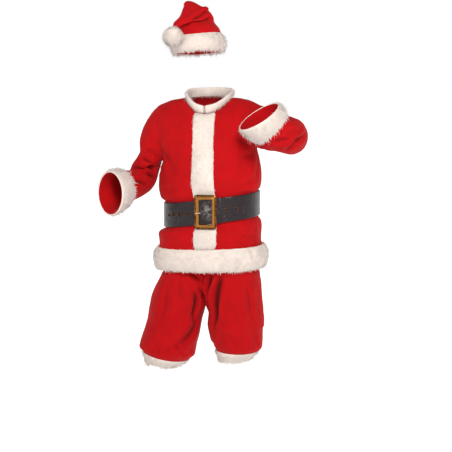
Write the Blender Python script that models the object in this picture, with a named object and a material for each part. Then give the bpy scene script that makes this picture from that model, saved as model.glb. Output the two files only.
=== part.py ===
"""Santa suit as worn: jacket, belt, trousers and hat, each piece a thin wall cut along its seams.

Metres, +Z up. The suit faces -Y and the wearer's left is +X.
The origin is the middle of the neck, level with the top of the shoulder seams.
"""

import math

import bmesh
import bpy
import numpy as np
from mathutils import Vector, kdtree

CLOTH = 0.002          # plush cloth wall
SEAM_INSET = 0.0003    # each panel stops this far short of its seam line
LIFT = 0.0008          # gap between a panel and what lies on it
FUR = 0.016            # fur trim, from its backing to the fur tips
PRESSED_FUR = 0.0034   # the same under the belt
CUFF_BAND = 0.070      # width of the sleeves' fur cuffs

# Height of each fur strip over the cloth, row by row from its edge, and how far it hangs past the edge.
HEM_PROFILE, HEM_OVERHANG = (0.007, FUR, FUR, 0.006), 0.009
CUFF_PROFILE, CUFF_OVERHANG = (0.007, FUR, FUR, 0.006), 0.004
LEG_CUFF_PROFILE, LEG_CUFF_OVERHANG = (0.006, 0.013, 0.005), 0.008
BRIM_PROFILE, BRIM_OVERHANG = (0.010, 0.020, 0.020, 0.010), 0.006
STRIP_SECTION = (0.005, 0.014, FUR, 0.014, 0.005)      # across the front strip
STRIP_GAP = 0.003                 # the front strip stops this far above the hem band

UP = np.array([0.0, 0.0, 1.0])

# Jacket body, hem to underarm: height, half width, depth in front and behind,
# sideways shift, and how far the row rises at the wearer's left side.
BODY_ROWS = [
    # z, half_width, front, back, shift, rise
    (-0.660, 0.207, 0.158, 0.150, 0.000, 0.006),
    (-0.632, 0.208, 0.159, 0.151, 0.000, 0.006),
    (-0.603, 0.207, 0.159, 0.150, 0.000, 0.007),
    (-0.575, 0.203, 0.158, 0.148, 0.000, 0.008),
    (-0.540, 0.202, 0.161, 0.146, 0.000, 0.012),
    (-0.512, 0.203, 0.159, 0.143, 0.001, 0.018),
    (-0.494, 0.195, 0.1525, 0.136, 0.003, 0.023),
    (-0.481, 0.1805, 0.151, 0.130, 0.0085, 0.024),
    (-0.431, 0.1795, 0.150, 0.129, 0.0085, 0.024),
    (-0.381, 0.1812, 0.151, 0.130, 0.0085, 0.024),
    (-0.367, 0.194, 0.1525, 0.136, 0.004, 0.022),
    (-0.325, 0.200, 0.157, 0.140, 0.002, 0.016),
    (-0.275, 0.198, 0.148, 0.136, 0.001, 0.018),
    (-0.222, 0.187, 0.135, 0.130, 0.001, 0.026),
]
BODY_POWER = 2.35
# The front's middle line drifts to the wearer's left below the chest.
DRIFT = dict(by=0.0135, start=-0.250, height=0.300, turns=62.0)
HEM_CELLS = 3                     # cells of the body under the fur hem band
STRIP_COLUMNS = 2                 # columns each side of the middle under the fur front strip
FRONT_ANGLES = (0, 4.2, 9.6, 22, 36, 49, 62, 76, 90)
BACK_ANGLES = (90, 103, 116, 129, 142, 155, 168, 180)
YOKE_CELLS = 8                    # cells from underarm to shoulder seam
NECK_FRONT_TURNS = (0, 15, 31, 60, 90)
NECK_BACK_TURNS = (0, 32, 62, 90)

NECK = dict(half_width=0.083, front_y=-0.088, front_z=-0.062, back_y=0.068, back_z=0.008)
# Shoulder point, and how far the armhole bows forward, backward and inward.
SHOULDERS = {
    1: dict(point=(0.205, -0.012, -0.028), front=0.078, back=0.070, inward=0.012),
    -1: dict(point=(-0.216, 0.004, -0.038), front=0.074, back=0.070, inward=0.012),
}

# Middle line of each sleeve and its half widths: across (under to top) and front to back.
SLEEVE_ROUTES = {
    1: [
        # x, y, z, across, depth
        (0.255, -0.028, -0.124, 0.078, 0.070),
        (0.290, -0.044, -0.132, 0.072, 0.066),
        (0.320, -0.062, -0.140, 0.070, 0.060),
        (0.338, -0.096, -0.143, 0.069, 0.058),
        (0.330, -0.142, -0.138, 0.068, 0.058),
        (0.300, -0.172, -0.126, 0.070, 0.064),
        (0.264, -0.188, -0.098, 0.076, 0.070),
        (0.229, -0.203, -0.066, 0.083, 0.080),
    ],
    -1: [
        (-0.241, 0.003, -0.236, 0.050, 0.070),
        (-0.253, 0.004, -0.253, 0.053, 0.070),
        (-0.262, 0.002, -0.282, 0.055, 0.068),
        (-0.272, -0.020, -0.316, 0.056, 0.061),
        (-0.290, -0.072, -0.336, 0.055, 0.061),
        (-0.318, -0.138, -0.346, 0.064, 0.068),
        (-0.350, -0.192, -0.362, 0.081, 0.081),
    ],
}
SLEEVE_UNDER = {1: (0.0, 0.0, -1.0), -1: (1.0, 0.0, -0.45)}
SLEEVE_PIVOT = {1: (0.0, 0.0, 0.0), -1: (-0.002, 0.0, -0.006)}
SLEEVE_SLIM = {1: 0.0, -1: 0.10}      # how far the cloth draws in between the armhole and the first ring
SLEEVE_SWING = {1: math.radians(-15), -1: math.radians(66)}
SLEEVE_FACING = {1: (-0.45, -0.35, 0.82), -1: (-0.634, -0.768, 0.03)}      # where the sleeve's opening looks
FACING_LENGTH = 0.12
SLEEVE_TOP_CELLS = 4              # cells in which the armhole's oval turns into the sleeve's first ring
SLEEVE_CELLS = 11                 # from the armhole to the fur cuff
CUFF_CELLS = 3

CASING_ROWS = ((0.0005, 0.0), (0.012, -0.004), (0.030, -0.005))     # height over the waist, and how far out
CASING_WALL = 0.004
WAIST = dict(z=-0.455, half_width=0.1617, front=0.136, back=0.120, power=2.2)
CROTCH = dict(x=-0.014, y=-0.010, z=-0.788)
# Middle line of each leg and its half widths: sideways and front to back.
LEG_ROUTES = {
    1: [
        # x, y, z, across, depth
        (0.107, -0.004, -0.845, 0.110, 0.126),
        (0.106, -0.006, -0.905, 0.112, 0.124),
        (0.114, -0.008, -0.945, 0.100, 0.117),
        (0.117, -0.009, -0.973, 0.096, 0.111),
        (0.114, -0.009, -0.988, 0.088, 0.102),
        (0.109, -0.009, -0.998, 0.071, 0.084),
        (0.104, -0.008, -1.024, 0.063, 0.077),
    ],
    -1: [
        (-0.135, -0.020, -0.845, 0.107, 0.126),
        (-0.143, -0.035, -0.905, 0.108, 0.124),
        (-0.155, -0.048, -0.955, 0.110, 0.122),
        (-0.162, -0.054, -0.990, 0.111, 0.119),
        (-0.165, -0.056, -1.006, 0.104, 0.112),
        (-0.170, -0.056, -1.018, 0.082, 0.092),
        (-0.180, -0.056, -1.045, 0.062, 0.076),
    ],
}
LEG_MIDDLES = {1: 0.10, -1: -0.14}
LEG_FACING = {1: (0.08, 0.0, -1.0), -1: (-0.13, -0.02, -1.0)}      # where each leg's opening looks
RISE_CELLS = 6                    # cells of the seat seam on each of front and back
WAIST_CELLS = 6                   # cells of each quarter of the waist
RISE_TURN = 62.0                  # share of the leg, in degrees, that meets the seat seam on each side
HIP_CELLS = 6
LEG_SHARES = (0.0, 0.19, 0.38, 0.56, 0.72, 0.84, 0.92, 1.0)     # places of the rings down to the fur cuff
LEG_CUFF_CELLS = 2
LEG_BAND = 0.036
HIP_BULGE = {1: 0.004, -1: -0.030}
SEAT_BULGE = {1: 0.002, -1: -0.012}

# Hat crown: middle line from the brim over the fold to the tip, with half widths.
HAT_ORIGIN = (-0.036, -0.036, 0.178)
HAT_TILT = math.radians(5)
HAT_ROUTE = [
    # x, y, z, half_width, half_depth
    (0.000, 0.000, 0.000, 0.091, 0.106),
    (0.000, 0.002, 0.030, 0.092, 0.107),
    (0.000, 0.004, 0.060, 0.091, 0.103),
    (0.000, 0.006, 0.088, 0.084, 0.090),
    (0.003, 0.008, 0.118, 0.068, 0.066),
    (0.008, 0.008, 0.146, 0.056, 0.042),
    (0.012, 0.000, 0.170, 0.047, 0.020),
    (0.012, -0.026, 0.183, 0.047, 0.014),
    (0.008, -0.050, 0.162, 0.043, 0.013),
    (-0.020, -0.080, 0.128, 0.031, 0.012),
    (-0.042, -0.106, 0.110, 0.019, 0.010),
    (-0.056, -0.1278, 0.0916, 0.008, 0.006),
]
HAT_COLUMNS = 22
BRIM_CELLS = 3
BRIM_HEIGHT = 0.082
CROWN_CELLS = 15
POMPOM = dict(centre=(-0.058, -0.157, 0.058), radius=0.040)

BELT = dict(z=-0.431, half_width=0.186, front=0.157, back=0.1355, shift=0.0085, rise=0.024)
BELT_WIDTH = 0.095
BELT_WALL = 0.0028
BELT_LAP = 0.0036                 # how far out the tail lies from the strap under it
BELT_START = 5.0                  # angle of the strap's sewn end, and of its tail
BELT_TAIL = 430.0
BUCKLE_TURN = 361.5
PRONG_HOLE = 357.8
EYELETS = (343.6, 332.0, 321.4, 311.4, 382.1, 395.8)
EYELET_HOLE = 0.0036
EYELET_RIM = 0.0068
EYELET_HEIGHT = 0.0010
LAP_TURN, LAP_TURNS = 338, 16     # where the tail starts to climb over the sewn end, and for how long
KEEPER = (373.8, 375.5, 377.2)
KEEPER_WALL = 0.0014
KEEPER_GAP = 0.0006
BUCKLE = dict(width=0.087, height=0.132, bar=0.018, depth=0.0055, corner=0.012)
ROD = 0.0022                      # half thickness of the middle bar and of the prong

# Folds of the cloth as soft ridges (plus) and troughs (minus), laid on the skin along its normal.
# Each has a middle point, a run direction, half length, half width and height.
FOLDS = [
    # x, y, z, run_x, run_y, run_z, half_length, half_width, height
    (-0.196, -0.050, -0.566, 0.30, -1.0, 0.05, 0.060, 0.014, -0.009),
    (-0.190, -0.060, -0.360, 0.30, -1.0, -0.20, 0.060, 0.020, 0.006),
    (0.192, -0.060, -0.350, -0.30, -1.0, 0.30, 0.070, 0.022, 0.006),
    (0.130, -0.130, -0.290, -1.00, -0.3, -0.90, 0.110, 0.026, -0.006),
    (-0.125, -0.130, -0.270, 1.00, -0.3, -1.30, 0.090, 0.024, -0.005),
    (-0.262, -0.060, -0.300, 1.00, 0.1, -0.20, 0.060, 0.014, -0.010),
    (-0.262, -0.056, -0.270, 1.00, 0.1, 0.10, 0.060, 0.014, 0.006),
    (-0.290, 0.020, -0.250, 0.20, 1.0, 0.30, 0.060, 0.014, -0.006),
    (-0.262, 0.072, -0.300, 1.00, 0.0, 0.30, 0.060, 0.018, -0.006),
    (0.300, -0.120, -0.080, 1.00, -0.4, 0.30, 0.060, 0.014, -0.008),
    (0.330, -0.180, -0.200, 1.00, -0.6, 0.10, 0.070, 0.016, -0.006),
    (0.300, -0.270, -0.130, 1.00, 0.2, -0.40, 0.080, 0.016, -0.006),
    (-0.050, -0.150, -0.730, -0.55, 0.0, 1.00, 0.070, 0.016, -0.010),
    (0.052, -0.150, -0.760, 0.16, 0.0, 1.00, 0.120, 0.014, -0.012),
    (0.026, -0.150, -0.740, 0.10, 0.0, 1.00, 0.080, 0.012, 0.006),
    (-0.060, 0.130, -0.740, 0.50, 0.0, 1.00, 0.080, 0.018, -0.009),
    (0.060, 0.130, -0.740, -0.30, 0.0, 1.00, 0.090, 0.018, -0.009),
    (-0.110, -0.160, -0.930, 1.00, 0.0, 0.55, 0.080, 0.020, -0.008),
    (0.060, -0.120, -0.930, 1.00, -0.5, 0.20, 0.050, 0.016, -0.008),
    (0.190, -0.090, -0.880, 0.10, -0.2, 1.00, 0.090, 0.020, -0.005),
    (-0.210, -0.120, -0.900, -0.30, 0.0, 1.00, 0.090, 0.020, -0.005),
    (0.120, 0.110, -0.920, 1.00, 0.0, 0.30, 0.070, 0.018, -0.007),
    (-0.140, 0.080, -0.920, 1.00, 0.0, -0.30, 0.070, 0.018, -0.007),
    (0.070, 0.130, -0.330, 1.00, 0.0, 0.40, 0.090, 0.022, -0.006),
    (-0.080, 0.130, -0.320, 1.00, 0.0, -0.50, 0.090, 0.022, -0.006),
]

COLOURS = {
    # name: (red, green, blue), roughness, metallic
    "red_plush": ((0.52, 0.012, 0.012), 0.95, 0.0),
    "white_fur": ((0.84, 0.79, 0.73), 1.0, 0.0),
    "black_vinyl": ((0.020, 0.016, 0.017), 0.35, 0.0),
    "antique_brass": ((0.43, 0.25, 0.08), 0.35, 1.0),
}


def clear_scene():
    for obj in list(bpy.data.objects):
        bpy.data.objects.remove(obj)
    group = bpy.data.collections.new("santa_suit")
    bpy.context.scene.collection.children.link(group)
    return group


def make_materials():
    made = {}
    for name, (colour, roughness, metallic) in COLOURS.items():
        material = bpy.data.materials.new(name)
        material.use_nodes = True
        shader = material.node_tree.nodes["Principled BSDF"]
        shader.inputs["Base Color"].default_value = (*colour, 1.0)
        shader.inputs["Roughness"].default_value = roughness
        shader.inputs["Metallic"].default_value = metallic
        made[name] = material
    return made


def ease(t):
    t = min(max(t, 0.0), 1.0)
    return t * t * (3 - 2 * t)


def unit(v):
    return v / max(np.linalg.norm(v), 1e-9)


def superellipse(angle, half_width, front, back, power=2.0):
    """Point at this angle in degrees: 0 is the middle of the front, 90 the wearer's left."""
    s, c = math.sin(math.radians(angle)), math.cos(math.radians(angle))
    x = half_width * math.copysign(abs(s) ** (2 / power), s)
    depth = front if c > 0 else back
    y = -depth * math.copysign(abs(c) ** (2 / power), c)
    return x, y


def body_point(row, angle):
    z, half_width, front, back, shift, rise = row
    x, y = superellipse(angle, half_width, front, back, BODY_POWER)
    return np.array([x + shift, y, z + rise * x / half_width])


def front_point(row, angle):
    """A point of the jacket's body, with the front's middle line drifting sideways."""
    point = body_point(row, angle)
    if abs(angle) >= DRIFT["turns"]:
        return point
    z, half_width, front, _, shift, rise = row
    drift = DRIFT["by"] * ease((DRIFT["start"] - z) / DRIFT["height"]) * (1 - ease(abs(angle) / DRIFT["turns"]))
    share = (point[0] - shift + drift) / half_width
    y = -front * (1 - abs(share) ** BODY_POWER) ** (1 / BODY_POWER)
    return np.array([shift + share * half_width, y, z + rise * share])


class Skin:
    """Outer surface of a garment as welded triangles, each marked with its panel."""

    def __init__(self):
        self.mesh = bmesh.new()
        self.panels = []

    def add_grid(self, grid, panel, wrap=False):
        if panel not in self.panels:
            self.panels.append(panel)
        index = self.panels.index(panel)
        rows = [[self.mesh.verts.new(p) for p in row] for row in grid]
        columns = len(rows[0])
        for lower, upper in zip(rows, rows[1:]):
            for j in range(columns if wrap else columns - 1):
                k = (j + 1) % columns
                for corners in ((lower[j], lower[k], upper[k]), (lower[j], upper[k], upper[j])):
                    self.mesh.faces.new(corners).material_index = index

    def weld(self, middle):
        """Joins the grids, drops faces with no area and turns all faces away from the middle line."""
        bmesh.ops.remove_doubles(self.mesh, verts=self.mesh.verts, dist=1e-5)
        bmesh.ops.recalc_face_normals(self.mesh, faces=self.mesh.faces)
        outward = sum(
            f.normal.dot(f.calc_center_median() - middle(f.calc_center_median())) * f.calc_area()
            for f in self.mesh.faces
        )
        if outward < 0:
            bmesh.ops.reverse_faces(self.mesh, faces=self.mesh.faces)
        self.mesh.normal_update()

    def fold(self, folds):
        """Pushes the skin in and out along its normals, and remembers where each point was."""
        self.mesh.verts.index_update()
        self.mesh.verts.ensure_lookup_table()
        self.finder = kdtree.KDTree(len(self.mesh.verts))
        for vertex in self.mesh.verts:
            self.finder.insert(vertex.co, vertex.index)
        self.finder.balance()
        moves = [fold_height(v.co, v.normal, folds) for v in self.mesh.verts]
        for vertex, move in zip(self.mesh.verts, moves):
            vertex.co += vertex.normal * move
        self.mesh.normal_update()

    def number_at(self, place):
        """The skin's point that stood at this place before folding."""
        return self.finder.find(Vector(place))[1]

    def points_at(self, places):
        """Where the points at these places are after folding, and their normals."""
        found = [self.mesh.verts[self.number_at(p)] for p in places]
        return np.array([v.co for v in found]), np.array([v.normal for v in found])


def fold_height(point, normal, folds):
    height = 0.0
    for x, y, z, run_x, run_y, run_z, half_length, half_width, size in folds:
        away = np.array(point) - (x, y, z)
        run = unit(np.array([run_x, run_y, run_z]))
        along = away @ run
        across = away - along * run
        across = across - (across @ np.array(normal)) * np.array(normal) * 0.6
        reach = (along / half_length) ** 2 + (np.linalg.norm(across) / half_width) ** 2
        height += size * math.exp(-reach)
    return height


def finish_mesh(name, points, faces, material, group):
    mesh = bpy.data.meshes.new(name)
    mesh.from_pydata([tuple(p) for p in points], [], faces)
    mesh.update()
    mesh.materials.append(material)
    mesh.shade_smooth()
    mesh.set_sharp_from_angle(angle=math.radians(50))
    obj = bpy.data.objects.new(name, mesh)
    group.objects.link(obj)
    return obj


def layer(name, faces, heights, material, group, inset=0.0, shifts=None):
    """Closed wall on these faces of a skin, between a lower and an upper height at each of its points."""
    numbers = {}
    for face in faces:
        for vertex in face.verts:
            numbers.setdefault(vertex, len(numbers))
    chosen = set(faces)
    pull = {vertex: [] for vertex in numbers}
    rims = []
    for face in faces:
        for loop in face.loops:
            if sum(f in chosen for f in loop.edge.link_faces) == 1:
                start, end = loop.vert, loop.link_loop_next.vert
                rims.append((numbers[start], numbers[end]))
                inward = np.array(face.normal.cross(end.co - start.co).normalized())
                pull[start].append(inward)
                pull[end].append(inward)
    outer, inner = [None] * len(numbers), [None] * len(numbers)
    for vertex, i in numbers.items():
        point, normal = np.array(vertex.co), np.array(vertex.normal)
        if pull[vertex]:
            inward = unit(sum(pull[vertex]))
            point = point + inward * inset / max(min(inward @ p for p in pull[vertex]), 0.35)
        if shifts and vertex.index in shifts:
            point = point + shifts[vertex.index]
        low, high = heights(vertex)
        outer[i] = point + normal * high
        inner[i] = point + normal * low
    count = len(outer)
    outside = [[numbers[v] for v in f.verts] for f in faces]
    inside = [[i + count for i in reversed(f)] for f in outside]
    edge = [triangle for a, b in rims for triangle in ((b, a, a + count), (b, a + count, b + count))]
    return finish_mesh(name, outer + inner, outside + inside + edge, material, group)


def cut_panels(skin, material, group):
    """Each panel of a skin as a closed wall, mitred at its seams and held clear of its neighbours."""
    for index, panel in enumerate(skin.panels):
        faces = [f for f in skin.mesh.faces if f.material_index == index]
        layer(panel, faces, lambda vertex: (-CLOTH, 0.0), material, group, SEAM_INSET)


def strip_on(name, skin, rows, profile, material, group, overhang=0.0):
    """A fur strip on rows of a skin's grid. The profile has a height for each row or, doubled, each point."""
    numbers = [[skin.number_at(p) for p in row] for row in rows]
    profile = np.broadcast_to(np.array(profile, float).reshape(len(rows), -1), (len(rows), len(rows[0])))
    height = {n: h for row, line in zip(numbers, profile) for n, h in zip(row, line)}
    faces = [f for f in skin.mesh.faces if all(v.index in height for v in f.verts)]
    shifts = {}
    for edge, inside in zip(numbers[0], numbers[1]):
        away = skin.mesh.verts[edge].co - skin.mesh.verts[inside].co
        shifts[edge] = np.array(away.normalized()) * overhang
    return layer(name, faces, lambda vertex: (LIFT, height[vertex.index]), material, group, 0.0, shifts)


def grid_solid(name, inner, outer, material, group, wrap=False):
    """Closed solid between two grids of the same shape; wrap joins the last column to the first."""
    rows, columns = inner.shape[:2]
    points = list(outer.reshape(-1, 3)) + list(inner.reshape(-1, 3))
    count = rows * columns
    faces = []
    spans = columns if wrap else columns - 1
    for i in range(rows - 1):
        for j in range(spans):
            k = (j + 1) % columns
            a, b, c, d = i * columns + j, i * columns + k, (i + 1) * columns + k, (i + 1) * columns + j
            faces += [(a, b, c), (a, c, d)]
            faces += [(c + count, b + count, a + count), (d + count, c + count, a + count)]
    for i, j, k in [(r, j, (j + 1) % columns) for r in (0, rows - 1) for j in range(spans)]:
        a, b = i * columns + j, i * columns + k
        a, b = (b, a) if i == 0 else (a, b)
        faces += [(a, b, b + count), (a, b + count, a + count)]
    if not wrap:
        for j in (0, columns - 1):
            for i in range(rows - 1):
                a, b = i * columns + j, (i + 1) * columns + j
                a, b = (a, b) if j == 0 else (b, a)
                faces += [(a, b, b + count), (a, b + count, a + count)]
    obj = finish_mesh(name, points, faces, material, group)
    face_outwards(obj)
    return obj


def face_outwards(obj):
    """Turns the faces of a closed solid to point out of it."""
    shape = bmesh.new()
    shape.from_mesh(obj.data)
    if shape.calc_volume(signed=True) < 0:
        bmesh.ops.reverse_faces(shape, faces=shape.faces)
    shape.to_mesh(obj.data)
    shape.free()


def unit_rows(vectors):
    return vectors / np.linalg.norm(vectors, axis=-1, keepdims=True)


def yoke_patch(side, front):
    """Quarter of the jacket above the underarm: rows up to the shoulder, columns out from the middle."""
    angles = FRONT_ANGLES if front else tuple(reversed(BACK_ANGLES))
    turns = NECK_FRONT_TURNS if front else NECK_BACK_TURNS
    ring = [body_point(BODY_ROWS[-1], side * a) for a in angles]
    shoulder = SHOULDERS[side]
    point = np.array(shoulder["point"])
    neck_y = NECK["front_y"] if front else NECK["back_y"]
    neck_z = NECK["front_z"] if front else NECK["back_z"]
    cells, neck_cells = len(angles) - 1, len(turns) - 1
    side_neck = np.array([side * NECK["half_width"], 0.0, 0.0])
    top = []
    for t in (math.radians(turn) for turn in turns[:-1]):
        top.append(np.array([
            side * NECK["half_width"] * math.sin(t),
            neck_y * math.cos(t),
            neck_z * math.cos(t) ** 1.4,
        ]))
    for j in range(neck_cells, cells + 1):
        t = (j - neck_cells) / (cells - neck_cells)
        top.append(side_neck + (point - side_neck) * t + UP * 0.010 * math.sin(math.pi * t))
    bow = shoulder["front"] if front else -shoulder["back"]
    rows = []
    for i in range(YOKE_CELLS + 1):
        s = i / YOKE_CELLS
        hole = armhole_point(ring[-1], point, bow, shoulder["inward"], side, s)
        rise = np.array([s, 1 - math.cos(s * math.pi / 2), math.sin(s * math.pi / 2)])
        plain = [start + rise * (end - start) for start, end in zip(ring, top)]
        middle = plain[0].copy()
        middle[1] = ring[0][1] + (top[0][1] - ring[0][1]) * s**1.5
        row = []
        for j, p in enumerate(plain):
            f = j / cells
            row.append(p + (1 - f) * (middle - plain[0]) + f**2 * (hole - plain[-1]))
        rows.append(row)
    return rows


def armhole_point(under, shoulder, bow, inward, side, s):
    """Point of the armhole from the underarm (s 0) up one edge to the shoulder (s 1)."""
    t = (1 - math.cos(math.pi * s)) / 2
    p = under + (shoulder - under) * t
    return p + np.array([-side * inward, -bow, 0.0]) * math.sin(math.pi * s)


def armhole_ring(side):
    """The whole armhole, from the underarm up the front edge, over and down the back edge."""
    under = body_point(BODY_ROWS[-1], side * 90)
    shoulder = SHOULDERS[side]
    point = np.array(shoulder["point"])
    ups = [i / YOKE_CELLS for i in range(YOKE_CELLS + 1)]
    front = [armhole_point(under, point, shoulder["front"], shoulder["inward"], side, s) for s in ups]
    back = [armhole_point(under, point, -shoulder["back"], shoulder["inward"], side, s) for s in ups]
    return front + back[-2:0:-1]


def smooth_route(rows, steps=24):
    """Many points on a smooth curve through the rows of a route, with all their columns."""
    table = np.array(rows, float)
    padded = np.vstack([2 * table[0] - table[1], table, 2 * table[-1] - table[-2]])
    made = []
    for i in range(1, len(padded) - 2):
        a, b, c, d = padded[i - 1 : i + 3]
        for k in range(steps):
            t = k / steps
            made.append(
                0.5 * (2 * b + (c - a) * t + (2 * a - 5 * b + 4 * c - d) * t**2 + (3 * b - a - 3 * c + d) * t**3)
            )
    made.append(padded[-2])
    return np.array(made)


class Tube:
    """Rings about a route. Its frame is carried along without twist from a starting 'under' direction."""

    def __init__(self, rows, under, facing=None):
        self.path = smooth_route(rows)
        line = self.path[:, :3]
        steps = np.linalg.norm(np.diff(line, axis=0), axis=1)
        self.lengths = np.concatenate([[0], np.cumsum(steps)])
        self.total = self.lengths[-1]
        tangents = unit_rows(np.gradient(line, axis=0))
        if facing is not None:
            turned = [ease((length - self.total + FACING_LENGTH) / FACING_LENGTH) for length in self.lengths]
            turned = np.array(turned)[:, None]
            tangents = unit_rows(tangents * (1 - turned) + unit(np.array(facing)) * turned)
        bends = np.gradient(tangents, self.lengths, axis=0)
        window = np.hanning(17) / np.hanning(17).sum()
        self.bends = np.array([np.convolve(np.pad(b, 8, mode="edge"), window, "valid") for b in bends.T]).T
        self.frames = []
        under = np.array(under, float)
        for tangent in tangents:
            under = unit(under - (under @ tangent) * tangent)
            self.frames.append((tangent, under, np.cross(tangent, under)))

    def at(self, length):
        """Middle, half widths, frame and bend at this length along the route."""
        i = min(int(np.searchsorted(self.lengths, length)), len(self.lengths) - 1)
        row = np.array([np.interp(length, self.lengths, column) for column in self.path.T])
        return row[:3], row[3], row[4], self.frames[i], self.bends[i]

    def ring(self, length, angles, creased=False):
        """Ellipse at this length. Creased, it is flattened on the inside of a tight bend as cloth is."""
        middle, across, depth, (_, under, front), bend = self.at(length)
        tightness = np.linalg.norm(bend)
        inside, limit = bend / max(tightness, 1e-6), 0.72 / max(tightness, 1e-6)
        made = []
        for angle in angles:
            away = across * math.cos(angle) * under + depth * math.sin(angle) * front
            reach = away @ inside
            if creased and reach > 0:
                away = away + inside * (limit * math.tanh(reach / limit) - reach)
            made.append(middle + away)
        return made


def swing(start, end, pivot, share, turn, slim):
    """Point between two, carried round a pivot by a share of this turn, in the plane seen from the front."""
    a, b = start - pivot, about_y(end - pivot, -turn)
    between = (a * (1 - share) + b * share) * (1 - slim * math.sin(math.pi * share))
    return pivot + about_y(between, turn * share)


def about_y(v, turn):
    c, s = math.cos(turn), math.sin(turn)
    return np.array([c * v[0] - s * v[2], v[1], s * v[0] + c * v[2]])


def sleeve_grid(side):
    """Rows from the armhole to the cuff's opening, columns round the arm from the underarm."""
    hole = armhole_ring(side)
    tube = Tube(SLEEVE_ROUTES[side], SLEEVE_UNDER[side], SLEEVE_FACING[side])
    # The frame's third axis points back on one arm and forward on the other.
    angles = [-side * 2 * math.pi * k / len(hole) for k in range(len(hole))]
    first = tube.ring(0.0, angles, True)
    pivot = hole[0] + np.array(SLEEVE_PIVOT[side])
    rows = []
    for i in range(SLEEVE_TOP_CELLS):
        share = i / SLEEVE_TOP_CELLS
        turn, slim = SLEEVE_SWING[side], SLEEVE_SLIM[side]
        rows.append([swing(a, b, pivot, share, turn, slim) for a, b in zip(hole, first)])
    body = tube.total - CUFF_BAND
    cells = SLEEVE_CELLS - SLEEVE_TOP_CELLS
    rows += [tube.ring(body * i / cells, angles, True) for i in range(cells + 1)]
    rows += [tube.ring(body + CUFF_BAND * (i + 1) / CUFF_CELLS, angles, True) for i in range(CUFF_CELLS)]
    return rows


def make_jacket(materials, group):
    red, fur = materials["red_plush"], materials["white_fur"]
    skin = Skin()
    for side, word in ((1, "left"), (-1, "right")):
        skin.add_grid([[front_point(r, side * a) for a in FRONT_ANGLES] for r in BODY_ROWS], f"jacket_front_{word}")
        skin.add_grid([[body_point(r, side * a) for a in BACK_ANGLES] for r in BODY_ROWS], "jacket_back")
        skin.add_grid(yoke_patch(side, True), f"jacket_front_{word}")
        skin.add_grid(yoke_patch(side, False), "jacket_back")
    sleeves = {side: sleeve_grid(side) for side in (1, -1)}
    skin.add_grid(sleeves[1], "sleeve_left", wrap=True)
    skin.add_grid(sleeves[-1], "sleeve_right", wrap=True)
    skin.weld(jacket_middle)
    skin.fold(FOLDS)
    cut_panels(skin, red, group)

    ring = [*FRONT_ANGLES, *BACK_ANGLES[1:]]
    ring += [-a for a in reversed(ring[1:-1])]
    hem = [[front_point(r, a) for a in ring] for r in BODY_ROWS[: HEM_CELLS + 1]]
    strip_on("fur_hem_band", skin, hem, HEM_PROFILE, fur, group, HEM_OVERHANG)
    for side, word in ((1, "left"), (-1, "right")):
        cuff = sleeves[side][: -CUFF_CELLS - 2 : -1]
        strip_on(f"fur_cuff_{word}", skin, cuff, CUFF_PROFILE, fur, group, CUFF_OVERHANG)
    yokes = {(side, front): yoke_patch(side, front) for side in (1, -1) for front in (True, False)}
    make_front_strip(skin, yokes, fur, group)
    make_neckband(skin, yokes, fur, group)


def jacket_middle(point):
    """Nearest point of the middle line of the body, or of the arm that the point is on."""
    if abs(point.x) < 0.2:
        return Vector((0, 0, point.z))
    route = SLEEVE_ROUTES[1 if point.x > 0 else -1]
    return min((Vector(r[:3]) for r in route), key=lambda p: (p - point).length)


def make_front_strip(skin, yokes, fur, group):
    """Fur strip down the front, thinner where the belt presses on it."""
    near = FRONT_ANGLES[: STRIP_COLUMNS + 1]
    angles = [-a for a in near[:0:-1]] + list(near)
    rows = [[front_point(r, a) for a in angles] for r in BODY_ROWS[HEM_CELLS:]]
    for left, right in zip(yokes[1, True][1:-1], yokes[-1, True][1:-1]):
        rows.append([*right[STRIP_COLUMNS:0:-1], *left[: STRIP_COLUMNS + 1]])
    section = np.array(STRIP_SECTION)
    reach = BUCKLE["height"] / 2 + 0.002
    pressed = [abs(row[STRIP_COLUMNS][2] - BELT["z"]) < reach for row in rows]
    profile = [np.full(5, PRESSED_FUR) if flat else section for flat in pressed]
    profile[-1] = section * 0.5
    strip_on("fur_front_strip", skin, rows, profile, fur, group, -STRIP_GAP)


def make_neckband(skin, yokes, fur, group):
    """Fur band that stands on the neckline, from one front edge round to the other."""
    front, back = len(NECK_FRONT_TURNS), len(NECK_BACK_TURNS)
    half = {side: yokes[side, True][-1][:front] + yokes[side, False][-1][: back - 1][::-1] for side in (1, -1)}
    points, normals = skin.points_at(half[1] + half[-1][-2::-1])
    points[0, 0] += 0.001
    points[-1, 0] -= 0.001
    outward = unit_rows(points * np.array([1.0, 1.0, 0.0]))
    down = unit_rows(outward - normals * (outward * normals).sum(axis=1, keepdims=True))
    rise = UP * 0.034 + outward * 0.004
    inner = [points + normals * 0.0016, points + UP * 0.018, points + rise, points + rise + outward * 0.006]
    outer = [
        points + normals * 0.0075 + down * 0.008,
        points + outward * 0.015 + UP * 0.012,
        points + outward * 0.016 + UP * 0.028,
        points + rise + outward * 0.008 + UP * 0.003,
    ]
    grid_solid("fur_neckband", np.array(inner), np.array(outer), fur, group)


def belt_out(angle):
    """How far out the strap lies at this angle: its tail climbs over its sewn end at the buckle."""
    return BELT_LAP * ease((angle - LAP_TURN) / LAP_TURNS)


def belt_point(angle, out):
    """Point of the belt's middle line, this far out from its inner face, and its outward direction."""
    p = body_point(tuple(BELT.values()), angle)
    depth = BELT["front"] if p[1] < 0 else BELT["back"]
    away = unit(np.array([(p[0] - BELT["shift"]) / BELT["half_width"] ** 2, p[1] / depth**2, 0.0]))
    return p + away * out, away


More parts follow.
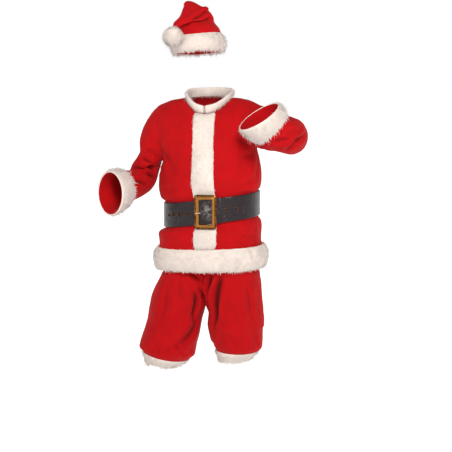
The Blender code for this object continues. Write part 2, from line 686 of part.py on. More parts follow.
def make_belt(materials, group):
    """Vinyl strap wound once round with its tail lying over its start, buckle, prong, keeper and eyelets."""
    vinyl, brass = materials["black_vinyl"], materials["antique_brass"]
    angles = [BELT_START, *range(13, 330, 9), *range(334, 380, 4), *range(386, 430, 9), BELT_TAIL]
    inner, outer = [], []
    half = UP * BELT_WIDTH / 2
    for angle in angles:
        point, away = belt_point(angle, belt_out(angle))
        inner.append([point - half, point + half])
        outer.append([point - half + away * BELT_WALL, point + half + away * BELT_WALL])
    strap = grid_solid("belt_strap", np.array(inner), np.array(outer), vinyl, group)
    for angle in (PRONG_HOLE, *EYELETS):
        cut_hole(strap, angle)
    for number, angle in enumerate(EYELETS):
        make_eyelet(f"belt_eyelet_{number + 1}", angle, brass, group)
    make_buckle(brass, group)
    make_keeper(vinyl, group)


def cut_hole(strap, angle):
    """Punches the strap's outer layer."""
    place, away = belt_point(angle, belt_out(angle) + BELT_WALL / 2)
    bpy.ops.mesh.primitive_cylinder_add(vertices=12, radius=EYELET_HOLE, depth=BELT_WALL + 0.0008)
    cutter = bpy.context.object
    cutter.rotation_mode = "QUATERNION"
    cutter.rotation_quaternion = Vector(away).to_track_quat("Z", "X")
    cutter.location = Vector(place)
    bpy.context.view_layer.update()
    combine(strap, cutter, "DIFFERENCE")


def combine(obj, other, operation):
    """Applies a Boolean and removes the other object."""
    modifier = obj.modifiers.new("combine", "BOOLEAN")
    modifier.operation = operation
    modifier.solver = "EXACT"
    modifier.object = other
    graph = bpy.context.evaluated_depsgraph_get()
    mesh = bpy.data.meshes.new_from_object(obj.evaluated_get(graph))
    obj.modifiers.clear()
    obj.data = mesh
    bpy.data.objects.remove(other)


def closed_sweep(name, rings, material, group):
    """Solid ring whose section is swept through these rings and back to the first."""
    count, width = len(rings), len(rings[0])
    faces = []
    for r in range(count):
        s = (r + 1) % count
        for k in range(width):
            m = (k + 1) % width
            faces.append((r * width + k, r * width + m, s * width + m, s * width + k))
    obj = finish_mesh(name, [p for ring in rings for p in ring], faces, material, group)
    face_outwards(obj)
    return obj


def make_eyelet(name, angle, brass, group):
    """Turned brass ring that lies on the strap round its hole."""
    place, away = belt_point(angle, belt_out(angle) + BELT_WALL + 0.0004)
    crown = ((EYELET_HOLE + 0.0004, EYELET_HEIGHT), (EYELET_RIM - 0.0008, EYELET_HEIGHT))
    profile = [(EYELET_HOLE, 0.0), *crown, (EYELET_RIM, 0.0)]
    turns = [2 * math.pi * i / 14 for i in range(14)]
    rings = [[(r * math.cos(t), r * math.sin(t), h) for r, h in profile] for t in turns]
    ring = closed_sweep(name, rings, brass, group)
    ring.rotation_mode = "QUATERNION"
    ring.rotation_quaternion = Vector(away).to_track_quat("Z", "X")
    ring.location = Vector(place)


def rounded_outline(half_width, half_height, radius, corner_steps=3):
    """Points of a rectangle with round corners."""
    outline = []
    for corner, (sign_x, sign_z) in enumerate(((1, -1), (1, 1), (-1, 1), (-1, -1))):
        for k in range(corner_steps + 1):
            turn = math.radians(-90 + 90 * corner + 90 * k / corner_steps)
            x = sign_x * (half_width - radius) + radius * math.cos(turn)
            z = sign_z * (half_height - radius) + radius * math.sin(turn)
            outline.append((x, z))
    return outline


def make_buckle(brass, group):
    """Cast frame in front of the strap, its middle bar behind the tail, and the prong through the tail."""
    lap_front = belt_point(BUCKLE_TURN, BELT_LAP + BELT_WALL)[0]
    x, y, z = lap_front[0], lap_front[1] - 0.0016, lap_front[2]
    half_w, half_h, bar, depth = BUCKLE["width"] / 2, BUCKLE["height"] / 2, BUCKLE["bar"], BUCKLE["depth"]
    section = [
        # inset from the outer edge, how far it stands in front of the back face
        (0.0, 0.0), (0.0, 0.003), (0.003, 0.0046), (0.45 * bar, 0.0046), (0.55 * bar, depth),
        (bar - 0.0015, depth), (bar, 0.004), (bar, 0.0),
    ]
    rings = []
    for inset, front in section:
        radius = BUCKLE["corner"] - 0.5 * inset
        outline = rounded_outline(half_w - inset, half_h - inset, radius)
        rings.append([(x + a, y - front, z + b) for a, b in outline])
    frame = closed_sweep("belt_buckle", rings, brass, group)

    reach = half_h - bar / 2
    rod_y = belt_point(BUCKLE_TURN, BELT_LAP)[0][1] + ROD + 0.0008
    bend = 0.006
    bar_route = [
        (x, y - depth / 2, z + reach), (x, rod_y - bend / 2, z + reach), (x, rod_y, z + reach - bend),
        (x, rod_y, z - reach + bend), (x, rod_y - bend / 2, z - reach), (x, y - depth / 2, z - reach),
    ]
    combine(frame, rod("bar", bar_route, brass, group), "UNION")

    hole = belt_point(PRONG_HOLE, belt_out(PRONG_HOLE) + BELT_WALL / 2)[0]
    over_y = y - depth - ROD - 0.0006
    slope = BELT["rise"] / BELT["half_width"]
    prong_route = [
        (px, py, hole[2] + (px - hole[0]) * slope)
        for px, py in (
            (x - 2 * ROD - 0.0006, rod_y), (hole[0], rod_y), (hole[0], over_y), (x - half_w + bar * 0.35, over_y),
        )
    ]
    rod("belt_prong", prong_route, brass, group)


def rod(name, route, material, group):
    """Round rod through these points, with mitred corners and flat ends."""
    curve = bpy.data.curves.new(name, "CURVE")
    curve.dimensions = "3D"
    curve.bevel_depth = ROD
    curve.bevel_resolution = 2
    curve.use_fill_caps = True
    spline = curve.splines.new("POLY")
    spline.points.add(len(route) - 1)
    for point, place in zip(spline.points, route):
        point.co = (*place, 1.0)
    wire = bpy.data.objects.new(name + "_line", curve)
    group.objects.link(wire)
    bpy.context.view_layer.update()
    graph = bpy.context.evaluated_depsgraph_get()
    mesh = bpy.data.meshes.new_from_object(wire.evaluated_get(graph))
    shape = bmesh.new()
    shape.from_mesh(mesh)
    bmesh.ops.remove_doubles(shape, verts=shape.verts, dist=1e-5)
    shape.to_mesh(mesh)
    shape.free()
    bpy.data.objects.remove(wire)
    mesh.name = name
    mesh.materials.clear()
    mesh.materials.append(material)
    obj = bpy.data.objects.new(name, mesh)
    group.objects.link(obj)
    face_outwards(obj)
    bpy.context.view_layer.update()
    return obj


def make_keeper(vinyl, group):
    """Narrow vinyl loop round both layers of the strap beside the buckle."""
    inner, outer = [], []
    gap, wall = UP * (BELT_WIDTH / 2 + LIFT), KEEPER_WALL
    for angle in KEEPER:
        back, away = belt_point(angle, -KEEPER_GAP)
        front, _ = belt_point(angle, BELT_LAP + BELT_WALL + KEEPER_GAP)
        inner.append([back - gap, back + gap, front + gap, front - gap])
        high = gap + UP * wall
        outer.append([
            back - high - away * wall, back + high - away * wall,
            front + high + away * wall, front - high + away * wall,
        ])
    grid_solid("belt_keeper", np.array(inner), np.array(outer), vinyl, group, wrap=True)


def waist_point(angle, out=0.0, up=0.0):
    x, y = superellipse(angle, WAIST["half_width"] + out, WAIST["front"] + out, WAIST["back"] + out, WAIST["power"])
    return np.array([x, y, WAIST["z"] + up])


def leg_top(side):
    """Top edge of a leg: up the front seat seam from the crotch, round the waist, down the back seam."""
    crotch = np.array([CROTCH["x"], CROTCH["y"], CROTCH["z"]])
    seams = {0: [], 180: []}
    for k in range(RISE_CELLS):
        t = k / RISE_CELLS * math.pi / 2
        share = np.array([math.sin(t), math.sin(t) ** 0.75, (1 - math.cos(t)) ** 0.9])
        for angle, seam in seams.items():
            seam.append(crotch + share * (waist_point(angle) - crotch))
    over = [waist_point(side * 180 * k / (2 * WAIST_CELLS)) for k in range(2 * WAIST_CELLS + 1)]
    return seams[0] + over + seams[180][:0:-1]


def leg_grid(side):
    """Rows from the leg's top edge to its cuff, columns round the leg from the inseam."""
    top = leg_top(side)
    tube = Tube(LEG_ROUTES[side], (-side, 0, 0), LEG_FACING[side])
    front = [RISE_TURN * k / RISE_CELLS for k in range(RISE_CELLS)]
    over = [RISE_TURN + (360 - 2 * RISE_TURN) * k / (2 * WAIST_CELLS) for k in range(2 * WAIST_CELLS + 1)]
    turns = [math.radians(t) for t in front + over + [360 - t for t in front[:0:-1]]]
    # The tube runs down, so its third axis points forward on one leg and back on the other.
    angles = [-side * t for t in turns]
    thigh = tube.ring(0.0, angles)
    rows = []
    for i in range(HIP_CELLS):
        s = i / HIP_CELLS
        swell = math.sin(math.pi * s) ** 3
        row = []
        for turn, start, end in zip(turns, top, thigh):
            side_share = max(0.0, -math.cos(turn))
            bulge = np.array([side * HIP_BULGE[side] * side_share, -SEAT_BULGE[side] * math.sin(turn), 0.0])
            row.append(start + (end - start) * s + bulge * swell)
        rows.append(row)
    body = tube.total - LEG_BAND
    rows += [tube.ring(body * share, angles) for share in LEG_SHARES]
    rows += [tube.ring(body + LEG_BAND * (i + 1) / LEG_CUFF_CELLS, angles) for i in range(LEG_CUFF_CELLS)]
    return rows


def make_trousers(materials, group):
    red, fur = materials["red_plush"], materials["white_fur"]
    skin = Skin()
    legs = {side: leg_grid(side) for side in (1, -1)}
    skin.add_grid(legs[1], "trouser_leg_left", wrap=True)
    skin.add_grid(legs[-1], "trouser_leg_right", wrap=True)
    skin.weld(leg_middle)
    skin.fold(FOLDS)
    cut_panels(skin, red, group)
    for side, word in ((1, "left"), (-1, "right")):
        cuff = legs[side][: -LEG_CUFF_CELLS - 2 : -1]
        strip_on(f"fur_leg_cuff_{word}", skin, cuff, LEG_CUFF_PROFILE, fur, group, LEG_CUFF_OVERHANG)
    make_waistband(red, group)


def leg_middle(point):
    return Vector((LEG_MIDDLES[1 if point.x > CROTCH["x"] else -1], CROTCH["y"], point.z))


def make_waistband(red, group):
    """Elastic casing on the trousers' top edge."""
    inner, outer = [], []
    for up, out in CASING_ROWS:
        inner.append([waist_point(angle, out - CASING_WALL, up) for angle in range(0, 360, 15)])
        outer.append([waist_point(angle, out, up) for angle in range(0, 360, 15)])
    grid_solid("trouser_waistband", np.array(inner), np.array(outer), red, group, wrap=True)


def hat_place(point):
    """Hat coordinates to the suit's, tilted about the front-back axis."""
    x, y, z = point
    c, s = math.cos(HAT_TILT), math.sin(HAT_TILT)
    return np.array([c * x - s * z, y, s * x + c * z]) + np.array(HAT_ORIGIN)


def make_hat(materials, group):
    red, fur = materials["red_plush"], materials["white_fur"]
    tube = Tube(HAT_ROUTE, (1.0, 0.0, 0.0))
    angles = [2 * math.pi * k / HAT_COLUMNS for k in range(HAT_COLUMNS)]
    lengths = [BRIM_HEIGHT * i / BRIM_CELLS for i in range(BRIM_CELLS + 1)]
    lengths += [BRIM_HEIGHT + (tube.total - BRIM_HEIGHT) * (i + 1) / CROWN_CELLS for i in range(CROWN_CELLS)]
    grid = [[hat_place(p) for p in tube.ring(length, angles)] for length in lengths]
    tip, _, _, (tangent, _, _), _ = tube.at(tube.total)
    end = hat_place(tip + tangent * 0.006)
    skin = Skin()
    skin.add_grid(grid, "hat_crown", wrap=True)
    close_tip(skin, grid[-1], end)
    skin.weld(lambda p: Vector(hat_place((0.0, 0.0, 0.08))))
    skin.fold([])
    cut_panels(skin, red, group)
    strip_on("fur_hat_brim", skin, grid[: BRIM_CELLS + 1], BRIM_PROFILE, fur, group, BRIM_OVERHANG)
    make_pompom(fur, group)


def close_tip(skin, ring, end):
    """Closes the end of the hat with a fan of triangles."""
    apex = skin.mesh.verts.new(end)
    corners = [skin.mesh.verts.new(p) for p in ring]
    for k, corner in enumerate(corners):
        skin.mesh.faces.new((corner, corners[(k + 1) % len(corners)], apex)).material_index = 0


def make_pompom(fur, group):
    """Fur ball at the hat's tip, a little uneven as clipped fur is."""
    radius = POMPOM["radius"]
    bpy.ops.mesh.primitive_ico_sphere_add(subdivisions=3, radius=radius)
    ball = bpy.context.object
    for holder in list(ball.users_collection):
        holder.objects.unlink(ball)
    group.objects.link(ball)
    ball.name = "hat_pompom"
    for vertex in ball.data.vertices:
        n = vertex.co.normalized()
        bump = math.sin(7 * n.x + 1.3) * math.sin(6 * n.y + 0.4) * math.sin(8 * n.z + 2.1)
        vertex.co = n * radius * (1 + 0.03 * bump)
    ball.location = Vector(hat_place(POMPOM["centre"]))
    ball.data.materials.append(fur)
    ball.data.shade_smooth()


def main():
    group = clear_scene()
    materials = make_materials()
    make_jacket(materials, group)
    make_belt(materials, group)
    make_trousers(materials, group)
    make_hat(materials, group)


main()
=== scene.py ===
"""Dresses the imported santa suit: plush with its creases, fur trim, vinyl belt, brass buckle, plain stage.

Every length is in metres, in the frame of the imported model: +Z up, the suit faces -Y.
"""

import math

import bmesh
import bpy
import numpy as np
from bpy.props import FloatProperty, FloatVectorProperty, PointerProperty
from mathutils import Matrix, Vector, noise
from mathutils.bvhtree import BVHTree
from mathutils.kdtree import KDTree


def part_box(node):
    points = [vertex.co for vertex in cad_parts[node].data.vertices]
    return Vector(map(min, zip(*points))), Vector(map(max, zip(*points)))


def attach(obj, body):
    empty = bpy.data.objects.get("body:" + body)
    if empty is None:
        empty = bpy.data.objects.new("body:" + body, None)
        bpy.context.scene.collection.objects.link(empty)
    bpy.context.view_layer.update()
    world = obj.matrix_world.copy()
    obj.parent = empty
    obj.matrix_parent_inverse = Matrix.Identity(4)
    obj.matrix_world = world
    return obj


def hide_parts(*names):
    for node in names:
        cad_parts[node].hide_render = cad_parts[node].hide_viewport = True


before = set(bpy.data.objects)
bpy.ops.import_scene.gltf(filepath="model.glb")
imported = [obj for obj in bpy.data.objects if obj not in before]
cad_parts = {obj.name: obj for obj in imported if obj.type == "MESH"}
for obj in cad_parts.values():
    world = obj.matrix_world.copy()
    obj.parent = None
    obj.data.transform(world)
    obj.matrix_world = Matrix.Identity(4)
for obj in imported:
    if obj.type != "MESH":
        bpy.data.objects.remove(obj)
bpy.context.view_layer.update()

bl_info = {
    "name": "Santa Suit Dresser",
    "version": (1, 0, 0),
    "blender": (4, 5, 0),
    "location": "3D View > Sidebar > Santa Suit",
    "description": "Plush cloth, fur trim, vinyl belt and brass fittings on the packed santa suit",
    "category": "Object",
}

BODY = "root"
WALL = 0.002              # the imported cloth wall
SEAM_REACH = 0.0019       # points of two panels this near each other are one point of the seam
SEAM_DRAW = 0.0004        # how far a seam's points are drawn in
CALM_REACH = 0.028        # creases rise to their full height over this distance from a trim
WAVE_HEIGHT = 0.0032      # the unevenness of plush between its creases
SHADE_DEPTH = 0.011        # troughs get painted shade by their depth as a share of this
SHADE_START = 0.22         # and only past this share
SHADE_MOST = 0.85          # the darkest painted shade in a fold
RING_CLEARANCE = 0.0012   # from the cloth to a ring's point lifted out of it
LOCK_WIDE = 0.034         # size of the fur's large locks
LOCK_FINE = 0.013         # size of its small locks
GUARD_SHARE = 0.12        # share of tufts that are longer guard hairs
GUARD_LENGTH = 1.75       # their length, as a multiple of the others'
RIM_SHADE_REACH = 0.0075       # faces this near the buckle's outer edge take its dark second material, painted shade

JACKET = ("jacket_front_left", "jacket_front_right", "jacket_back", "sleeve_left", "sleeve_right")
TROUSERS = ("trouser_leg_left", "trouser_leg_right")
HAT = ("hat_crown",)

# Creases, given one by one. Each runs from its start through its middle to its end, a trough between soft
# ridges: half width across, depth, and how far up its shoulders stand as a share of the depth.
JACKET_CREASES = [
    # start x, y, z, middle x, y, z, end x, y, z, half_width, depth, shoulder
    (-0.25, -0.049, -0.267, -0.227, -0.036, -0.276, -0.195, -0.04, -0.286, 0.0075, 0.0127, 0.5),
    (-0.276, -0.08, -0.283, -0.246, -0.065, -0.295, -0.215, -0.02, -0.314, 0.008, 0.0147, 0.45),
    (-0.268, -0.06, -0.232, -0.238, -0.055, -0.245, -0.213, -0.012, -0.262, 0.01, 0.0088, 0.4),
    (-0.256, -0.067, -0.192, -0.235, -0.065, -0.206, -0.214, -0.048, -0.228, 0.011, 0.0055, 0.4),
    (-0.272, -0.165, -0.31, -0.246, -0.117, -0.323, -0.226, -0.065, -0.341, 0.011, 0.0088, 0.4),
    (-0.272, 0.06, -0.254, -0.292, 0.03, -0.292, -0.31, -0.03, -0.322, 0.011, 0.007, 0.4),
    (-0.24, 0.075, -0.292, -0.26, 0.055, -0.322, -0.28, 0.01, -0.352, 0.01, 0.0061, 0.4),
    (-0.19, -0.06, -0.195, -0.15, -0.092, -0.236, -0.112, -0.125, -0.29, 0.015, 0.0046, 0.35),
    (-0.196, -0.05, -0.23, -0.176, -0.078, -0.27, -0.158, -0.103, -0.32, 0.012, 0.0035, 0.4),
    (0.12, -0.114, -0.138, 0.16, -0.089, -0.173, 0.19, -0.01, -0.199, 0.012, 0.0068, 0.45),
    (0.135, -0.108, -0.236, 0.172, -0.072, -0.216, 0.188, 0.031, -0.203, 0.013, 0.0054, 0.4),
    (-0.168, -0.1, -0.336, -0.121, -0.131, -0.352, -0.074, -0.147, -0.336, 0.012, 0.0035, 0.5),
    (0.198, -0.034, -0.282, 0.176, -0.09, -0.318, 0.132, -0.125, -0.34, 0.013, 0.0041, 0.5),
    (0.19, -0.018, -0.219, 0.195, -0.045, -0.275, 0.193, -0.056, -0.33, 0.011, 0.0035, 0.4),
    (-0.19, -0.066, -0.548, -0.14, -0.125, -0.53, -0.084, -0.141, -0.504, 0.013, 0.0046, 0.5),
    (0.196, -0.06, -0.545, 0.176, -0.091, -0.534, 0.13, -0.129, -0.505, 0.013, 0.0043, 0.5),
    (-0.15, -0.118, -0.585, -0.12, -0.138, -0.56, -0.102, -0.143, -0.52, 0.011, 0.0027, 0.4),
    (0.281, -0.254, -0.11, 0.322, -0.222, -0.084, 0.352, -0.176, -0.076, 0.01, 0.0083, 0.45),
    (0.238, -0.218, -0.166, 0.311, -0.229, -0.15, 0.38, -0.168, -0.144, 0.012, 0.0092, 0.45),
    (0.318, -0.162, -0.202, 0.361, -0.188, -0.163, 0.393, -0.108, -0.124, 0.011, 0.01, 0.45),
    (0.296, -0.243, -0.125, 0.346, -0.214, -0.125, 0.386, -0.15, -0.112, 0.009, 0.007, 0.45),
    (0.3, -0.09, -0.19, 0.272, -0.08, -0.17, 0.262, -0.09, -0.14, 0.009, 0.0116, 0.4),
    (0.345, -0.06, -0.19, 0.372, -0.07, -0.16, 0.385, -0.06, -0.12, 0.012, 0.0078, 0.4),
    (0.11, 0.112, -0.25, 0.14, 0.1, -0.29, 0.172, 0.066, -0.33, 0.015, 0.0051, 0.4),
    (-0.06, 0.132, -0.18, -0.1, 0.125, -0.24, -0.15, 0.098, -0.29, 0.016, 0.0049, 0.4),
    (0.02, 0.134, -0.33, 0.07, 0.132, -0.342, 0.12, 0.112, -0.33, 0.012, 0.0043, 0.5),
    (-0.13, 0.112, -0.35, -0.08, 0.131, -0.34, -0.03, 0.134, -0.352, 0.012, 0.0043, 0.5),
    (0.06, 0.138, -0.51, 0.072, 0.142, -0.55, 0.066, 0.148, -0.6, 0.014, 0.0043, 0.45),
    (-0.09, 0.13, -0.512, -0.104, 0.136, -0.552, -0.1, 0.14, -0.59, 0.014, 0.0046, 0.45),
    (-0.01, 0.142, -0.515, -0.016, 0.148, -0.56, -0.02, 0.15, -0.59, 0.011, 0.003, 0.45),
]
TROUSER_CREASES = [
    (-0.022, -0.098, -0.728, -0.022, -0.066, -0.775, -0.03, -0.05, -0.84, 0.01, 0.015, 0.45),
    (0.036, -0.127, -0.672, 0.018, -0.108, -0.728, 0.006, -0.077, -0.79, 0.01, 0.019, 0.55),
    (0.074, -0.13, -0.676, 0.05, -0.121, -0.764, 0.031, -0.102, -0.9, 0.013, 0.02, 0.45),
    (-0.066, -0.126, -0.668, -0.034, -0.116, -0.69, -0.008, -0.096, -0.722, 0.009, 0.0084, 0.5),
    (-0.02, -0.07, -0.85, -0.052, -0.097, -0.907, -0.118, -0.155, -0.962, 0.018, 0.0095, 0.4),
    (0.1, -0.127, -0.672, 0.084, -0.129, -0.734, 0.07, -0.123, -0.83, 0.012, 0.0057, 0.45),
    (0.158, -0.103, -0.7, 0.173, -0.093, -0.776, 0.18, -0.092, -0.87, 0.013, 0.0054, 0.45),
    (-0.132, -0.124, -0.676, -0.146, -0.137, -0.78, -0.166, -0.152, -0.89, 0.018, 0.0049, 0.4),
    (-0.09, -0.128, -0.67, -0.092, -0.132, -0.73, -0.082, -0.13, -0.8, 0.015, 0.0057, 0.45),
    (-0.196, -0.158, -0.952, -0.173, -0.158, -0.98, -0.158, -0.148, -1.006, 0.009, 0.0037, 0.45),
    (-0.11, -0.152, -0.95, -0.092, -0.14, -0.98, -0.082, -0.109, -1.008, 0.009, 0.0041, 0.45),
    (-0.148, -0.17, -0.958, -0.134, -0.164, -0.984, -0.13, -0.148, -1.004, 0.008, 0.0027, 0.45),
    (0.087, -0.126, -0.905, 0.12, -0.122, -0.942, 0.14, -0.094, -0.985, 0.011, 0.0039, 0.45),
    (0.172, -0.094, -0.89, 0.196, -0.063, -0.94, 0.186, -0.05, -0.975, 0.01, 0.0037, 0.45),
    (0.052, -0.112, -0.93, 0.056, -0.104, -0.955, 0.062, -0.09, -0.985, 0.009, 0.0037, 0.45),
    (0.03, 0.09, -0.7, 0.06, 0.112, -0.76, 0.12, 0.116, -0.84, 0.015, 0.0108, 0.45),
    (-0.04, 0.09, -0.7, -0.078, 0.1, -0.77, -0.138, 0.1, -0.85, 0.015, 0.0108, 0.45),
    (0.016, 0.07, -0.74, 0.03, 0.095, -0.8, 0.08, 0.112, -0.88, 0.012, 0.0095, 0.45),
    (-0.03, 0.06, -0.76, -0.044, 0.08, -0.83, -0.098, 0.08, -0.91, 0.013, 0.0092, 0.45),
    (0.13, 0.112, -0.9, 0.1, 0.114, -0.93, 0.06, 0.1, -0.95, 0.012, 0.0068, 0.45),
    (-0.108, 0.076, -0.93, -0.148, 0.076, -0.95, -0.198, 0.05, -0.97, 0.012, 0.0068, 0.45),
    (0.214, -0.01, -0.7, 0.214, 0.01, -0.78, 0.212, 0.03, -0.88, 0.015, 0.0054, 0.45),
    (-0.226, -0.02, -0.7, -0.24, 0.0, -0.79, -0.25, -0.01, -0.9, 0.015, 0.0054, 0.45),
    (-0.028, -0.12, -0.74, -0.03, -0.1, -0.8, -0.042, -0.1, -0.88, 0.012, 0.014, 0.3),
]
HAT_CREASES = [
    (0.012, -0.03, 0.334, -0.02, -0.108, 0.309, -0.072, -0.118, 0.266, 0.008, 0.0104, 0.6),
    (0.03, -0.06, 0.33, -0.01, -0.076, 0.306, -0.044, -0.113, 0.278, 0.007, 0.0052, 0.5),
    (-0.116, -0.04, 0.27, -0.09, -0.06, 0.3, -0.06, -0.06, 0.33, 0.012, 0.0052, 0.45),
    (-0.11, 0.03, 0.27, -0.07, 0.05, 0.3, -0.03, 0.04, 0.33, 0.014, 0.0065, 0.45),
    (0.04, 0.03, 0.27, 0.01, 0.03, 0.3, -0.01, 0.02, 0.335, 0.012, 0.0065, 0.45),
]

# Gathers round a ring: middle, axis, reach along the axis, number of folds and depth.
JACKET_GATHERS = [
    # x, y, z, axis_x, axis_y, axis_z, reach, folds, depth
    (0.003, 0.0, -0.372, -0.125, 0.0, 1.0, 0.055, 23, 0.0019),
    (0.003, 0.0, -0.492, -0.125, 0.0, -1.0, 0.055, 25, 0.0024),
]
TROUSER_GATHERS = [
    (0.107, -0.009, -1.0, 0.08, 0.0, 1.0, 0.06, 17, 0.0046),
    (-0.168, -0.056, -1.018, 0.13, 0.0, 1.0, 0.06, 17, 0.0046),
]

# Fur trim: share of the strip's height that is its backing, comb direction, how flat the fur lies,
# its length, and how far apart the tufts stand.
FUR_TRIM = {
    # name: keep, comb x, y, z, lean, length, spacing
    "fur_hem_band": (0.97, 0.0, 0.0, -1.0, 1.3, 0.0095, 0.0021),
    "fur_front_strip": (0.78, 0.0, 0.0, -1.0, 1.4, 0.0100, 0.0020),
    "fur_neckband": (0.80, 0.0, 0.0, -1.0, 1.2, 0.0120, 0.0023),
    "fur_cuff_left": (0.82, 0.40, 0.30, -0.85, 1.3, 0.0140, 0.0023),
    "fur_cuff_right": (0.82, 0.45, 0.85, 0.10, 1.2, 0.0150, 0.0023),
    "fur_leg_cuff_left": (0.78, 0.05, 0.0, -1.0, 1.4, 0.0130, 0.0023),
    "fur_leg_cuff_right": (0.78, -0.1, 0.0, -1.0, 1.4, 0.0130, 0.0023),
    "fur_hat_brim": (0.80, 0.0, 0.0, -1.0, 1.1, 0.0140, 0.0023),
    "hat_pompom": (0.86, 0.0, 0.0, -1.0, 0.35, 0.0130, 0.0021),
}

# Rings of trim whose sunken points are lifted out of the cloth below.
RINGS = (
    "fur_cuff_left", "fur_cuff_right", "fur_leg_cuff_left", "fur_leg_cuff_right",
    "fur_hat_brim", "fur_hem_band",
)
HEM_LIFT = 0.008          # the hem band's lower edge is drawn up
HEM_SHIFT = 0.003         # the band is moved to the wearer's left
HEM_SPREAD = 0.027        # share by which it is widened
BRIM_LIFT = 0.006         # the brim's lower edge is drawn up
BRIM_DROP = 0.016         # the brim's upper edge is drawn down, and more on the pompom's side
BRIM_DROP_MORE = 0.010
PEAK = dict(x=-0.080, z=0.265, height=0.075, right=0.024, left=0.020, bulge=0.010)

# The strap's middle line and section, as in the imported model.
STRAP = dict(z=-0.431, half_width=0.186, front=0.157, back=0.1355, shift=0.0085, rise=0.024, power=2.35)
STRAP_WIDTH = 0.095
STRAP_WALL = 0.0028
STRAP_LAP = 0.0036
STRAP_START = 5.0
STRAP_TAIL = 430.0
PRONG_HOLE = 357.8
BUCKLE_TURN = 361.5
EYELETS = (343.6, 332.0, 321.4, 311.4, 382.1, 395.8)
EYELET_HOLE = 0.0042
EYELET_RIM = 0.0066


def linear(hex_colour):
    """An sRGB hex colour as linear red, green and blue."""
    values = [int(hex_colour[i : i + 2], 16) / 255 for i in (1, 3, 5)]
    return tuple(v / 12.92 if v <= 0.04045 else ((v + 0.055) / 1.055) ** 2.4 for v in values)


class SuitCloth(bpy.types.PropertyGroup):
    """Sizes and colour of the plush cloth."""

    thickness: FloatProperty(
        name="Cloth thickness", description="Thickness of the plush with its pile",
        default=0.002, min=0.001, max=0.003, unit="LENGTH",
    )
    crease: FloatProperty(
        name="Crease strength", description="Share of each crease's depth that is drawn",
        default=1.0, min=0.0, max=1.5, subtype="FACTOR",
    )
    seam: FloatProperty(
        name="Seam depth", description="How far the cloth dips at a sewn seam",
        default=0.0013, min=0.0, max=0.003, unit="LENGTH",
    )
    colour: FloatVectorProperty(
        name="Plush colour", description="Colour of the plush in even light",
        default=linear("#BA0C12"), size=3, min=0.0, max=1.0, subtype="COLOR",
    )
    shade: FloatVectorProperty(
        name="Plush shade", description="Colour where the pile is brushed the other way",
        default=linear("#AA0C11"), size=3, min=0.0, max=1.0, subtype="COLOR",
    )


class SuitFur(bpy.types.PropertyGroup):
    """Sizes and colours of the fur trim."""

    density: FloatProperty(
        name="Tuft density", description="Share of the tufts that is drawn",
        default=0.86, min=0.2, max=1.3, subtype="FACTOR",
    )
    width: FloatProperty(
        name="Tuft width", description="Width of a tuft at its root",
        default=0.0015, min=0.0008, max=0.004, unit="LENGTH",
    )
    tip: FloatVectorProperty(
        name="Fur tips", description="Colour of the fur at its tips",
        default=linear("#F8ECE3"), size=3, min=0.0, max=1.0, subtype="COLOR",
    )
    # The roots' darker colour is painted shade deep among the tufts; the underfur takes it in random locks.
    root: FloatVectorProperty(
        name="Fur roots", description="Colour of the fur at its roots",
        default=linear("#DCCDC1"), size=3, min=0.0, max=1.0, subtype="COLOR",
    )


class SuitBelt(bpy.types.PropertyGroup):
    """Finish of the belt and its metal."""

    wrinkle: FloatProperty(
        name="Strap wrinkles", description="Height of the ripples in the vinyl",
        default=0.0007, min=0.0, max=0.002, unit="LENGTH",
    )
    edge: FloatProperty(
        name="Metal edge", description="Width of the rounding on the cast buckle's edges",
        default=0.0018, min=0.0002, max=0.0025, unit="LENGTH",
    )
    vinyl: FloatVectorProperty(
        name="Vinyl colour", description="Colour of the strap",
        default=linear("#1F1317"), size=3, min=0.0, max=1.0, subtype="COLOR",
    )
    brass: FloatVectorProperty(
        name="Brass colour", description="Colour of the buckle where it is rubbed bright",
        default=linear("#C0803F"), size=3, min=0.0, max=1.0, subtype="COLOR",
    )


class SuitStage(bpy.types.PropertyGroup):
    """Camera distance, lights and floor."""

    distance: FloatProperty(
        name="Camera distance", description="From the middle of the suit to the camera",
        default=4.5, min=2.0, max=10.0, unit="LENGTH",
    )
    key: FloatProperty(
        name="Key light", description="Power of the large soft light in front, in watts",
        default=98.0, min=0.0, max=500.0,
    )
    floor: FloatVectorProperty(
        name="Floor colour", description="Colour of the floor",
        default=linear("#F6F6F6"), size=3, min=0.0, max=1.0, subtype="COLOR",
    )


def add_node(tree, kind, settings=None, inputs=None):
    """One shader node, with its settings, and with its inputs set to a value or linked to a socket."""
    node = tree.nodes.new(kind)
    for name, value in (settings or {}).items():
        setattr(node, name, value)
    for name, value in (inputs or {}).items():
        if isinstance(value, bpy.types.NodeSocket):
            tree.links.new(value, node.inputs[name])
        else:
            node.inputs[name].default_value = value
    return node


def start_material(name):
    """A material with its shader, and the object's own coordinates in metres."""
    material = bpy.data.materials.new(name)
    material.use_nodes = True
    tree = material.node_tree
    place = add_node(tree, "ShaderNodeTexCoord").outputs["Object"]
    return material, tree, tree.nodes["Principled BSDF"], place


